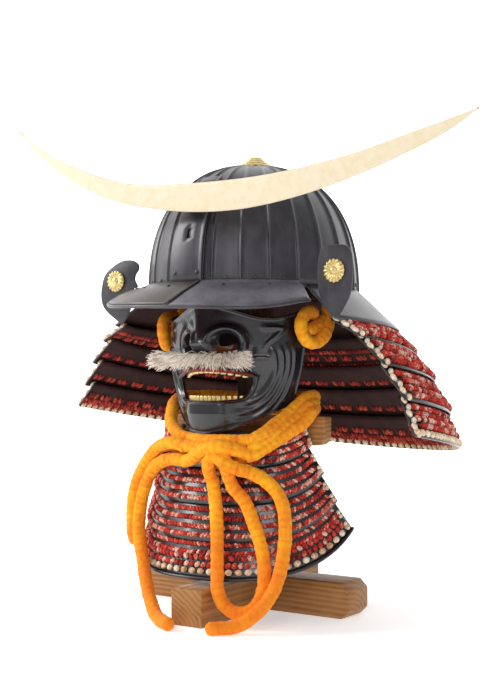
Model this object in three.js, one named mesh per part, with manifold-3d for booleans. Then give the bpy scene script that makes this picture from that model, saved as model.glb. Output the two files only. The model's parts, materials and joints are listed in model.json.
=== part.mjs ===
// Samurai helmet (kabuto) with its half mask, throat guard and tied silk cord, on a plain wooden stand.
// Millimetres, +Z up. The face looks along -Y and +X is the wearer's left. The origin is on the table,
// in the underside of the stand's lower foot, straight below the middle of the helmet bowl.
import * as THREE from 'three';
import { mergeVertices } from 'three/addons/utils/BufferGeometryUtils.js';
import Module from 'manifold-3d';

const wasm = await Module();
wasm.setup();

// ---- driving dimensions ----
const GAP = 0.4;                    // left between pieces that rest on each other

const BOWL = { halfWidth: 115.6, halfLength: 132, height: 147, rimZ: 364, wall: 2.4, fullness: 2.3 };
const RIBS = 24;                    // plates of the bowl, each with one raised edge
const RIB_HEIGHT = 1.4;
const CROWN_HOLE = 5;               // angle from the pole, degrees

const FRONT_PLATE = { halfWidth: 19, thick: 2.2, fromAngle: 4, toAngle: 52 };

const VISOR = {
  rootAngle: 60, rootZ: 369, halfWidth: 130, backY: -80, reach: 93, sweep: 85, edgeZ: 341, lift: 12,
  thick: 2.2, bulge: 3, squareness: 2.2,
};

const CROWN_FITTING = { foot: 21.5, collar: 13, knob: 8, height: 11 };

const CREST = { planeY: -134, thick: 2 };
// The crest's outline, from the tip on the wearer's right, along its lower edge to the other tip and back
const CREST_LOWER = [
  { x: -248, z: 559 }, { x: -200, z: 515 }, { x: -118, z: 470 }, { x: -30, z: 448.5 }, { x: 55, z: 441.5 },
  { x: 134, z: 448 }, { x: 218, z: 466 }, { x: 300, z: 493 }, { x: 340, z: 515 },
];
const CREST_UPPER = [
  { x: 340, z: 515 }, { x: 275, z: 501 }, { x: 200, z: 485.5 }, { x: 130, z: 477 }, { x: 60, z: 474 },
  { x: -30, z: 477 }, { x: -100, z: 487 }, { x: -189, z: 521 }, { x: -248, z: 559 },
];
const CREST_HOLDER = { halfWidth: 8, fromAngle: 31, toAngle: 37 };

const TURNBACK = { frontY: -79.4, thick: 2.4 };
// Outlines from the foot, up the outer edge and down the inner one. The wearer's right curls over.
const TURNBACK_OUTLINE = {
  left: [
    { x: 155.8, z: 327.2 }, { x: 164.2, z: 339 }, { x: 171.3, z: 351.2 }, { x: 173.7, z: 364.6 },
    { x: 174.3, z: 385.3 }, { x: 172.5, z: 396.8 }, { x: 166.6, z: 403.4 }, { x: 154.6, z: 404.7 },
    { x: 143.6, z: 404.3 }, { x: 136.8, z: 401.1 }, { x: 133.8, z: 392.8 }, { x: 132, z: 381.3 },
    { x: 132, z: 368.6 }, { x: 135.1, z: 352.6 }, { x: 145.5, z: 334.3 },
  ],
  right: [
    { x: -137, z: 328 }, { x: -145.6, z: 333.7 }, { x: -158.8, z: 343 }, { x: -166.7, z: 352.2 },
    { x: -169.1, z: 364.3 }, { x: -167.5, z: 376.2 }, { x: -162.8, z: 388 }, { x: -149.1, z: 398 },
    { x: -133.6, z: 403.7 }, { x: -118.3, z: 402.3 }, { x: -111.5, z: 397.5 }, { x: -111.7, z: 391.5 },
    { x: -116, z: 386.5 }, { x: -117.3, z: 379.9 }, { x: -113, z: 372 }, { x: -119.6, z: 369.6 },
    { x: -121, z: 358 }, { x: -126, z: 342 },
  ],
};
const ROSETTE = { radius: 13, notch: 0.9, thick: 3, petals: 12 };
const ROSETTE_PLACE = { left: { x: 153.5, z: 377.5 }, right: { x: -144.5, z: 379.5 } };

// Neck guard: the flange and four lames. Each row is the lower edge of one: its radius, its height
// above the table at Y = 0, the angle of its front corners from straight ahead, and how far it hangs
// lower on the wearer's left, where the lacing has stretched.
const NECK_ROWS = [
  { name: 'neck_flange', radius: 168, z: 324, corner: 64.5, lean: 0, slope: 0.06 },
  { name: 'neck_lame_1', radius: 189, z: 301, corner: 69.5, lean: 0, slope: 0.14 },
  { name: 'neck_lame_2', radius: 210, z: 274, corner: 74, lean: 2, slope: 0.14 },
  { name: 'neck_lame_3', radius: 228, z: 243, corner: 77.5, lean: 7, slope: 0.14 },
  { name: 'neck_lame_4', radius: 238, z: 211, corner: 78, lean: 13, slope: 0.14 },
];
const NECK_THICK = 4;
const NECK_TUCK = { radius: 12, height: 4 };   // how a lame's top edge hides behind the one above

// Throat guard: four lames on one flaring form, from the chin down to the hem.
const THROAT = { lames: 4, thick: 4, tuck: 0.03, tuckIn: 6 };
const THROAT_TOP = { halfWidth: 88, rearY: -38, frontY: -90, frontZ: 206, rearZ: 221 };
const THROAT_HEM = { halfWidth: 135, rearY: -7, frontY: -126, frontZ: 48, rearZ: 99 };

const MASK = {
  wall: 3, rearY: -34, jawRise: 44, bottomZ: 204, jawHalf: 80, browZ: 346, cheekZ: 330, endZ: 338,
};
// Half width of the mask, how far its front stands before the rear edge and the muzzle's extra reach
const MASK_ROWS = [
  { z: 204, halfWidth: 58, front: 50, muzzle: 16 },
  { z: 225, halfWidth: 68, front: 52, muzzle: 18 },
  { z: 246, halfWidth: 76, front: 52, muzzle: 17 },
  { z: 275, halfWidth: 84, front: 53, muzzle: 15 },
  { z: 300, halfWidth: 88, front: 56, muzzle: 9 },
  { z: 346, halfWidth: 85, front: 60, muzzle: 5 },
];
const NOSE = { reach: 17, halfWidth: 17, tipZ: 303, underZ: 291, bridge: 0.45 };
const MOUTH = { halfWidth: 43, cornerZ: 266, flatHalf: 20, bottomZ: 243, archZ: 280 };
const NOSTRIL = { x: 11, y: -100, z: 295, radius: 5, tilt: 35 };
const TEETH = { spread: 30, behind: 1.4, thick: 2, lower: [236, 249], upper: [267, 280] };
const MOUSTACHE = { halfWidth: 71, backY: -107, midY: -110, frontY: -121, midZ: 285, halfHeight: 10 };

const CORD = { radius: 6.5, sides: 8, clear: 3.4 };   // clear: a strand's slanting end to the knot
const KNOT = { min: [-8, -126, 160], max: [58, -99, 200], chamfer: 7 };

const BEAM = { x: -8, y: -2, width: 45, height: 40, halfLength: 147, lapZ: 20, chamfer: 9 };
const FOOT = { x: 12, halfWidth: 20.5, frontY: -150, backY: 92 };
const POST = { halfWidth: 16, frontY: -13.6, backY: 14, topZ: 470 };
const BAR = { halfLength: 112, frontY: -30, bottomZ: 190, topZ: 222, corner: 12 };
const CHIN_REST = { halfWidth: 12, frontY: -84, bottomZ: 210 };
const HEAD_REST = { radius: 62, bottomZ: 470 };

// ---- finishes ----
const finish = (color, roughness, metalness) => new THREE.MeshStandardMaterial({
  color, roughness, metalness,
});
const IRON = finish(0x4a474d, 0.45, 0.5);
const LACQUER = finish(0x17161a, 0.2, 0.1);
const LACED = finish(0x9c3a30, 0.8, 0);
const IVORY_GOLD = finish(0xf3e4bd, 0.4, 0.5);
const GOLD = finish(0xd8b860, 0.35, 0.8);
const HAIR = finish(0xdccdb0, 0.9, 0);
const ORANGE = finish(0xf58a1c, 0.9, 0);
const WOOD = finish(0xa07a4a, 0.6, 0);

// ---- helpers ----
const group = new THREE.Group();
const rad = THREE.MathUtils.degToRad;
const mix = THREE.MathUtils.lerp;
const power = (value, exponent) => Math.sign(value) * Math.abs(value) ** exponent;
const span = (from, to, steps) => Array.from({ length: steps + 1 }, (_, i) => mix(from, to, i / steps));

function addMesh(name, geometry, material) {
  const mesh = new THREE.Mesh(geometry, material);
  mesh.name = name;
  group.add(mesh);
  return mesh;
}

// Makes the geometry's faces point out, whichever way round it was drawn.
function facingOut(geometry) {
  const at = geometry.attributes.position;
  const index = geometry.index.array;
  const [a, b, c] = [new THREE.Vector3(), new THREE.Vector3(), new THREE.Vector3()];
  let volume = 0;
  for (let i = 0; i < index.length; i += 3) {
    a.fromBufferAttribute(at, index[i]);
    b.fromBufferAttribute(at, index[i + 1]);
    c.fromBufferAttribute(at, index[i + 2]);
    volume += a.dot(b.cross(c));
  }
  if (volume < 0) {
    for (let i = 0; i < index.length; i += 3) {
      [index[i + 1], index[i + 2]] = [index[i + 2], index[i + 1]];
    }
  }
  return geometry;
}

// A solid through a row of closed sections, each an array of [x, y, z] with as many points as the
// next. It closes on its first section, or has a flat cap at each end.
function loft(sections, closes = false) {
  const size = sections[0].length;
  const index = [];
  const last = closes ? sections.length : sections.length - 1;
  for (let i = 0; i < last; i += 1) {
    const next = (i + 1) % sections.length;
    for (let j = 0; j < size; j += 1) {
      const k = (j + 1) % size;
      index.push(i * size + j, next * size + j, next * size + k);
      index.push(i * size + j, next * size + k, i * size + k);
    }
  }
  if (!closes) {
    const strip = (base, turned) => {
      // The section is a wall: point j on one face lies opposite point size - 1 - j on the other.
      for (let j = 0; j < size / 2 - 1; j += 1) {
        const quad = [j, j + 1, size - 2 - j, size - 1 - j].map((n) => base + n);
        const order = turned ? [0, 2, 1, 0, 3, 2] : [0, 1, 2, 0, 2, 3];
        order.forEach((n) => index.push(quad[n]));
      }
    };
    strip(0, false);
    strip((sections.length - 1) * size, true);
  }
  const geometry = new THREE.BufferGeometry();
  geometry.setAttribute('position', new THREE.Float32BufferAttribute(sections.flat(2), 3));
  geometry.setIndex(index);
  return facingOut(geometry);
}

function toManifold(geometry) {
  const plain = geometry.clone();
  plain.deleteAttribute('normal');
  plain.deleteAttribute('uv');
  const merged = mergeVertices(plain, 1e-4);
  return new wasm.Manifold(new wasm.Mesh({
    numProp: 3,
    vertProperties: new Float32Array(merged.attributes.position.array),
    triVerts: new Uint32Array(merged.index.array),
  }));
}

function fromManifold(solid) {
  const mesh = solid.getMesh();
  const geometry = new THREE.BufferGeometry();
  geometry.setAttribute('position', new THREE.Float32BufferAttribute(mesh.vertProperties, 3));
  geometry.setIndex(Array.from(mesh.triVerts));
  return geometry;
}

// Cuts each tool out of the geometry.
const cut = (geometry, tools) => fromManifold(
  tools.reduce((left, tool) => left.subtract(toManifold(tool)), toManifold(geometry)),
);

// A flat outline in X and Z, pulled from frontY towards +Y.
function plateAcross(shape, frontY, depth, curveSegments = 8) {
  const geometry = new THREE.ExtrudeGeometry(shape, { depth, bevelEnabled: false, curveSegments });
  geometry.rotateX(Math.PI / 2);
  geometry.translate(0, frontY + depth, 0);
  return geometry;
}

// A flat outline in Y and Z, pulled from -halfWidth to +halfWidth along X.
function plateAlong(points, halfWidth) {
  const shape = new THREE.Shape(points.map(([y, z]) => new THREE.Vector2(y, z)));
  const geometry = new THREE.ExtrudeGeometry(shape, { depth: 2 * halfWidth, bevelEnabled: false });
  geometry.applyMatrix4(new THREE.Matrix4().set(
    0, 0, 1, -halfWidth,
    1, 0, 0, 0,
    0, 1, 0, 0,
    0, 0, 0, 1,
  ));
  return geometry;
}

const block = (min, max) => new THREE.BoxGeometry(max[0] - min[0], max[1] - min[1], max[2] - min[2])
  .translate((min[0] + max[0]) / 2, (min[1] + max[1]) / 2, (min[2] + max[2]) / 2);

// ---- helmet bowl ----
// A point of the bowl: turn is the angle from straight ahead towards the wearer's left, climb the
// angle from the rim to the crown, and offset the distance outside the plates.
function bowlPoint(turn, climb, offset) {
  const level = Math.max(Math.cos(rad(climb)), 0) ** (2 / BOWL.fullness);
  const rise = Math.sin(rad(climb)) ** (2 / BOWL.fullness);
  return [
    (BOWL.halfWidth + offset) * level * Math.sin(rad(turn)),
    -(BOWL.halfLength + offset) * level * Math.cos(rad(turn)),
    BOWL.rimZ + (BOWL.height + offset) * rise,
  ];
}

function makeBowl() {
  const climbs = span(0, 90 - CROWN_HOLE, 8);
  const turns = span(0, 360, 2 * RIBS).slice(0, -1);
  const sections = turns.map((turn, i) => {
    const rib = i % 2 === 0 ? RIB_HEIGHT : 0;
    const outside = climbs.map((climb) => bowlPoint(turn, climb, rib));
    const inside = climbs.map((climb) => bowlPoint(turn, climb, -BOWL.wall)).reverse();
    return [...outside, ...inside];
  });
  addMesh('bowl', loft(sections, true), IRON);
}

function makeFrontPlate() {
  const turnAt = (x) => THREE.MathUtils.radToDeg(Math.asin(x / BOWL.halfWidth));
  const across = span(-FRONT_PLATE.halfWidth, FRONT_PLATE.halfWidth, 4);
  const inner = RIB_HEIGHT + GAP;
  const sections = span(FRONT_PLATE.fromAngle, FRONT_PLATE.toAngle, 6).map((climb) => [
    ...across.map((x) => bowlPoint(turnAt(x), climb, inner + FRONT_PLATE.thick)),
    ...across.map((x) => bowlPoint(turnAt(x), climb, inner)).reverse(),
  ]);
  addMesh('front_plate', loft(sections), IRON);
}

// A point of the visor's top face: side runs from -1 to 1 round the brow, out from 0 to 1.
function visorPoint(side, out, drop) {
  const turn = rad(VISOR.rootAngle * side);
  const sweep = rad(VISOR.sweep * side);
  const clear = RIB_HEIGHT + 2 * GAP;
  const rootX = (BOWL.halfWidth + clear) * Math.sin(turn);
  const rootY = -(BOWL.halfLength + clear) * Math.cos(turn);
  const edgeX = VISOR.halfWidth * power(Math.sin(sweep), 2 / VISOR.squareness);
  const edgeY = VISOR.backY - VISOR.reach * Math.cos(sweep) ** (2 / VISOR.squareness);
  const edgeZ = VISOR.edgeZ + VISOR.lift * Math.abs(edgeX / VISOR.halfWidth) ** 8;
  return [
    mix(rootX, edgeX, out),
    mix(rootY, edgeY, out),
    mix(VISOR.rootZ, edgeZ, out) + VISOR.bulge * Math.sin(Math.PI * out) - drop,
  ];
}

function makeVisor() {
  const outs = [0, 0.5, 1];
  const sections = span(-1, 1, 22).map((side) => [
    ...outs.map((out) => visorPoint(side, out, 0)),
    ...outs.map((out) => visorPoint(side, out, VISOR.thick)).reverse(),
  ]);
  addMesh('visor', loft(sections), IRON);
}

function makeCrownFitting() {
  const seatZ = BOWL.rimZ + BOWL.height + RIB_HEIGHT + GAP;
  const { foot, collar, knob, height } = CROWN_FITTING;
  const profile = [
    [0, 0], [foot - 0.5, -1], [foot, 1], [collar + 4, 3], [collar, 4], [collar - 0.5, 6],
    [knob, 8], [knob - 2, height - 0.5], [0, height],
  ];
  const geometry = new THREE.LatheGeometry(profile.map(([r, z]) => new THREE.Vector2(r, z)), 16);
  geometry.rotateX(Math.PI / 2);
  geometry.translate(0, 0, seatZ);
  addMesh('crown_fitting', geometry, GOLD);
}

// ---- crest ----
function makeCrest() {
  const points = (rows) => rows.map(({ x, z }) => new THREE.Vector2(x, z));
  const shape = new THREE.Shape();
  shape.moveTo(CREST_LOWER[0].x, CREST_LOWER[0].z);
  shape.splineThru(points(CREST_LOWER.slice(1)));
  shape.splineThru(points(CREST_UPPER.slice(1)));
  addMesh('crest', plateAcross(shape, CREST.planeY - CREST.thick, CREST.thick, 3), IVORY_GOLD);

  const skin = RIB_HEIGHT + GAP + FRONT_PLATE.thick + GAP;
  const [, lowY, lowZ] = bowlPoint(0, CREST_HOLDER.fromAngle, skin);
  const [, highY, highZ] = bowlPoint(0, CREST_HOLDER.toAngle, skin);
  const front = CREST.planeY + GAP;
  const outline = [[front, lowZ], [lowY, lowZ], [highY, highZ], [front, highZ]];
  addMesh('crest_holder', plateAlong(outline, CREST_HOLDER.halfWidth), IRON);
}

// ---- turned-back plates beside the visor, each with one gilt rosette ----
function makeTurnbacks() {
  const { frontY, thick } = TURNBACK;
  for (const name of ['right', 'left']) {
    const corners = TURNBACK_OUTLINE[name].map(({ x, z }) => new THREE.Vector3(x, z, 0));
    const rim = new THREE.CatmullRomCurve3(corners, true, 'centripetal').getPoints(corners.length * 2);
    const shape = new THREE.Shape(rim.slice(0, -1).map(({ x, y }) => new THREE.Vector2(x, y)));
    addMesh(`turnback_${name}`, plateAcross(shape, frontY, thick), IRON);

    const middle = ROSETTE_PLACE[name];
    const rosette = new THREE.Shape(span(0, 360, 2 * ROSETTE.petals).slice(0, -1).map((turn, i) => {
      const reach = ROSETTE.radius * (i % 2 === 0 ? 1 : ROSETTE.notch);
      return new THREE.Vector2(
        middle.x + reach * Math.cos(rad(turn)),
        middle.z + reach * Math.sin(rad(turn)),
      );
    }));
    const rosetteFront = frontY - GAP - ROSETTE.thick;
    addMesh(`rosette_${name}`, plateAcross(rosette, rosetteFront, ROSETTE.thick), GOLD);
  }
}

// ---- neck guard ----
// A point on a horseshoe: turn from straight ahead, going round the wearer's left for turn > 0.
function neckPoint(row, radius, turn, lift) {
  const x = radius * Math.sin(rad(turn));
  const y = -(radius + 5) * Math.cos(rad(turn));
  return [x, y, row.z - row.slope * y - (row.lean * x) / row.radius + lift];
}

function makeNeckGuard() {
  const flange = NECK_ROWS[0];
  const rimTop = BOWL.rimZ + 2;
  const clear = RIB_HEIGHT + GAP;
  const turnsFor = (row) => span(row.corner, 360 - row.corner, 28);

  const flangeSections = turnsFor(flange).map((turn) => {
    const innerX = (BOWL.halfWidth + clear) * Math.sin(rad(turn));
    const innerY = -(BOWL.halfLength + clear) * Math.cos(rad(turn));
    const [outerX, outerY, outerZ] = neckPoint(flange, flange.radius, turn, 0);
    return [
      [innerX, innerY, rimTop], [outerX, outerY, outerZ],
      [outerX, outerY, outerZ - 2.5], [innerX, innerY, rimTop - 2.5],
    ];
  });
  addMesh(flange.name, loft(flangeSections), IRON);

  NECK_ROWS.slice(1).forEach((row, i) => {
    const above = NECK_ROWS[i];
    const topTurns = turnsFor({ corner: above.corner + 1 });
    const sections = turnsFor(row).map((turn, j) => {
      const topTurn = topTurns[j];
      const topRadius = above.radius - NECK_TUCK.radius;
      const top = (inset) => neckPoint(above, topRadius - inset, topTurn, i === 0 ? 1 : NECK_TUCK.height);
      const bottom = (inset) => neckPoint(row, row.radius - inset, turn, 0);
      return [top(0), bottom(0), bottom(NECK_THICK), top(NECK_THICK)];
    });
    addMesh(row.name, loft(sections), LACED);
  });
}

// ---- throat guard ----
// A point of the throat guard's outer face: side from -90 to 90 degrees round the front, down from 0
// at the chin to 1 at the hem, and inset the distance inside that face.
function throatPoint(side, down, inset) {
  const [s, c] = [Math.sin(rad(side)), Math.cos(rad(side))];
  const halfWidth = mix(THROAT_TOP.halfWidth, THROAT_HEM.halfWidth, down) - inset;
  const rearY = mix(THROAT_TOP.rearY, THROAT_HEM.rearY, Math.max(down, 0) ** 1.6);
  const frontY = mix(THROAT_TOP.frontY, THROAT_HEM.frontY, down) + inset;
  const frontZ = mix(THROAT_TOP.frontZ, THROAT_HEM.frontZ, down);
  const rearZ = mix(THROAT_TOP.rearZ, THROAT_HEM.rearZ, down);
  return [halfWidth * s, mix(rearY, frontY, c), mix(frontZ, rearZ, (1 - c) ** 1.7)];
}

function makeThroatGuard() {
  for (let i = 0; i < THROAT.lames; i += 1) {
    const from = i / THROAT.lames - (i > 0 ? THROAT.tuck : 0);
    const to = (i + 1) / THROAT.lames;
    const sections = span(-90, 90, 20).map((side) => [
      throatPoint(side, from, i > 0 ? THROAT.tuckIn : 0),
      throatPoint(side, to, 0),
      throatPoint(side, to, THROAT.thick),
      throatPoint(side, from, THROAT.thick + (i > 0 ? THROAT.tuckIn : 0)),
    ]);
    addMesh(`throat_lame_${i + 1}`, loft(sections), LACED);
  }
}

// ---- half mask ----
function maskRow(z) {
  const next = Math.max(1, MASK_ROWS.findIndex((row) => row.z >= z));
  const [low, high] = [MASK_ROWS[next - 1], MASK_ROWS[next]];
  const t = THREE.MathUtils.clamp((z - low.z) / (high.z - low.z), 0, 1);
  return {
    halfWidth: mix(low.halfWidth, high.halfWidth, t),
    front: mix(low.front, high.front, t),
    muzzle: mix(low.muzzle, high.muzzle, t),
  };
}

function noseReach(x, z) {
  const up = z < NOSE.tipZ
    ? THREE.MathUtils.smoothstep(z, NOSE.underZ, NOSE.tipZ)
    : mix(1, NOSE.bridge, (z - NOSE.tipZ) / (MASK.browZ - NOSE.tipZ));
  return NOSE.reach * up * Math.exp(-((x / NOSE.halfWidth) ** 2));
}

// A point of the mask's outer face, or inset inside it.
function maskPoint(side, z, inset) {
  const [s, c] = [Math.sin(rad(side)), Math.cos(rad(side))];
  const row = maskRow(z);
  const x = row.halfWidth * s;
  const muzzle = row.muzzle * Math.exp(-((x / 36) ** 4));
  const y = MASK.rearY - row.front * c - muzzle - noseReach(x, z);
  return [x - inset * s, y + inset * c, z];
}

const jawZ = (x) => MASK.bottomZ + MASK.jawRise * (x / MASK.jawHalf) ** 2;

function browZ(side) {
  const away = Math.abs(side) / 90;
  const dip = mix(MASK.browZ, MASK.cheekZ, THREE.MathUtils.smoothstep(away, 0, 0.55));
  return dip + (MASK.endZ - MASK.cheekZ) * THREE.MathUtils.smoothstep(away, 0.6, 1);
}

function makeMask() {
  const sections = span(-90, 90, 28).map((side) => {
    const low = jawZ(maskPoint(side, 225, 0)[0]);
    const levels = span(low, browZ(side), 11);
    return [
      ...levels.map((z) => maskPoint(side, z, 0)),
      ...levels.map((z) => maskPoint(side, z, MASK.wall)).reverse(),
    ];
  });
  const { halfWidth, cornerZ, flatHalf, bottomZ, archZ } = MOUTH;
  const mouth = new THREE.Shape();
  mouth.moveTo(-halfWidth, cornerZ);
  mouth.bezierCurveTo(7 - halfWidth, bottomZ + 6, -flatHalf - 10, bottomZ, -flatHalf, bottomZ);
  mouth.lineTo(flatHalf, bottomZ);
  mouth.bezierCurveTo(flatHalf + 10, bottomZ, halfWidth - 7, bottomZ + 6, halfWidth, cornerZ);
  mouth.quadraticCurveTo(0, archZ, -halfWidth, cornerZ);
  const cutters = [plateAcross(mouth, -140, 90, 5)];
  for (const x of [-NOSTRIL.x, NOSTRIL.x]) {
    const nostril = new THREE.CylinderGeometry(NOSTRIL.radius, NOSTRIL.radius, 60, 8);
    nostril.rotateX(rad(NOSTRIL.tilt));
    nostril.translate(x, NOSTRIL.y, NOSTRIL.z);
    cutters.push(nostril);
  }
  addMesh('mask', cut(loft(sections), cutters), LACQUER);

  const inner = MASK.wall + TEETH.behind;
  for (const [name, [lowZ, highZ]] of [['teeth_lower', TEETH.lower], ['teeth_upper', TEETH.upper]]) {
    const rows = span(-TEETH.spread, TEETH.spread, 12).map((side) => [
      maskPoint(side, lowZ, inner), maskPoint(side, highZ, inner),
      maskPoint(side, highZ, inner + TEETH.thick), maskPoint(side, lowZ, inner + TEETH.thick),
    ]);
    addMesh(name, loft(rows), GOLD);
  }
}

function makeMoustache() {
  const { halfWidth, backY, midY, frontY, midZ, halfHeight } = MOUSTACHE;
  const sections = span(-1, 1, 14).map((t) => {
    const full = 1 - 0.45 * Math.abs(t) ** 3;
    const z = midZ - 2 * t;
    const front = mix(frontY, frontY + 4, t * t);
    return [
      [halfWidth * t, midY, z - halfHeight * full], [halfWidth * t, front, z],
      [halfWidth * t, midY, z + halfHeight * full], [halfWidth * t, backY, z],
    ];
  });
  addMesh('moustache', loft(sections), HAIR);
}

// ---- tied cord ----
function makeCord(name, points, steps) {
  const path = new THREE.CatmullRomCurve3(points.map((p) => new THREE.Vector3(...p)), false, 'centripetal');
  const turns = span(0, 2 * Math.PI, CORD.sides).slice(0, -1);
  const ring = turns.map((a) => new THREE.Vector2(CORD.radius * Math.cos(a), CORD.radius * Math.sin(a)));
  const geometry = new THREE.ExtrudeGeometry(new THREE.Shape(ring), { steps, extrudePath: path });
  addMesh(name, geometry, ORANGE);
}

function makeCords() {
  const [left, right, below] = [KNOT.min[0] - CORD.clear, KNOT.max[0] + CORD.clear, KNOT.min[2] - CORD.clear];
  // Round the jaw and the post, from one side of the knot to the other
  makeCord('cord_jaw_upper', [
    [right, -104, 197], [67, -101.5, 199.5], [73, -92, 205], [76, -77, 213.5], [80, -61, 222],
    [84, -46, 232], [88, -32, 241], [89, -18, 244],
    [82, -2, 243], [62, 12, 243], [36, 22, 242], [0, 26, 241], [-36, 22, 242], [-62, 12, 243],
    [-82, -2, 243], [-90, -18, 242], [-89, -34, 239], [-84, -48, 233], [-75, -62, 225], [-64, -78, 215],
    [-48, -92, 207], [-30, -102, 199.5], [left, -106, 196.5],
  ], 26);
  // Under the first strand and over the cross bar, ending against the post
  makeCord('cord_jaw_lower', [
    [right, -108, 181], [67, -105, 182.5], [74, -93, 189.5], [82, -79, 198], [90, -65, 207], [97, -51, 215.5],
    [100, -38, 226.5], [96, -25, 230.5], [86, -11, 230], [66, -3, 229.2], [40, 0, 229.2],
    [POST.halfWidth + GAP, 0, 229.2],
  ], 12);
  // Bow, with a loop and a tail on each side
  makeCord('cord_loop_right', [
    [left, -119, 189], [-22, -119, 192.5], [-40, -116, 192.5], [-58, -111, 186], [-74, -107, 173],
    [-88, -104, 156], [-98, -102, 136], [-102, -101, 118], [-103, -100, 102], [-105, -97, 89],
    [-110, -89, 79.5], [-117.5, -78.5, 76], [-125, -67.5, 79.5], [-130, -60, 89], [-132, -57, 102],
    [-132, -56, 122], [-128, -57, 142], [-117, -62, 160], [-100, -70, 174], [-80, -80, 184],
    [-58, -90, 189], [-38, -98, 187.5], [-22, -102, 183.5], [left, -103.5, 181],
  ], 30);
  makeCord('cord_loop_left', [
    [20, -113, below], [22, -114, 148], [28, -118, 128], [33, -123, 104], [37, -128, 80],
    [40, -132, 56], [41, -133, 40], [46, -132, 27], [55, -130, 19], [66, -127, 16.5], [77, -123, 20],
    [84, -119, 29], [88, -116, 42], [88, -114, 56], [86, -112, 70], [80, -110, 90], [71, -109, 110],
    [60, -109, 132], [46, -112, 148], [42, -113, below],
  ], 26);
  makeCord('cord_tail_right', [
    [left, -117, 173.5], [-24, -116, 175], [-42, -113, 174], [-58, -110, 168], [-71, -107, 157],
    [-80, -105, 142], [-86, -105, 124], [-88, -106, 106], [-86, -109, 88], [-78, -115, 71],
    [-67, -124, 54], [-54, -135, 37], [-40, -146, 23], [-26, -156, 12], [-12, -165, 7.6],
    [2, -173, 7], [14, -180, 7],
  ], 22);
  makeCord('cord_tail_left', [
    [right, -112, 166], [68, -110, 164], [80, -104, 157], [91, -98, 146], [99, -96, 131],
    [103, -97, 114], [105, -100, 96], [106, -105, 78], [106, -112, 60], [104, -121, 43],
    [99, -131, 29], [92, -140, 19], [83, -148, 11], [73, -157, 7.4], [64, -166, 7], [56, -176, 7],
  ], 22);
  // The helmet's own cord, looped round the mask's cheek on each side
  for (const [side, name] of [[-1, 'right'], [1, 'left']]) {
    const points = [
      [99, -4, 350], [104, -8, 337], [107, -14, 324], [107, -23, 311], [103, -33, 304], [99, -43, 305],
      [96, -50, 313], [95.5, -53, 322], [96.5, -50, 331], [97.5, -42, 337], [97, -32, 338], [94, -22, 334],
    ];
    makeCord(`cheek_cord_${name}`, points.map(([x, y, z]) => [side * x, y, z]), 12);
  }
  const [, frontY, lowZ] = KNOT.min;
  const [, backY, highZ] = KNOT.max;
  const c = KNOT.chamfer;
  const outline = [
    [frontY + c, lowZ], [backY - c, lowZ], [backY, lowZ + c], [backY, highZ - c],
    [backY - c, highZ], [frontY + c, highZ], [frontY, highZ - c], [frontY, lowZ + c],
  ];
  const halfWidth = (KNOT.max[0] - KNOT.min[0]) / 2;
  addMesh('cord_knot', plateAlong(outline, halfWidth).translate(KNOT.min[0] + halfWidth, 0, 0), ORANGE);
}

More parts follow.
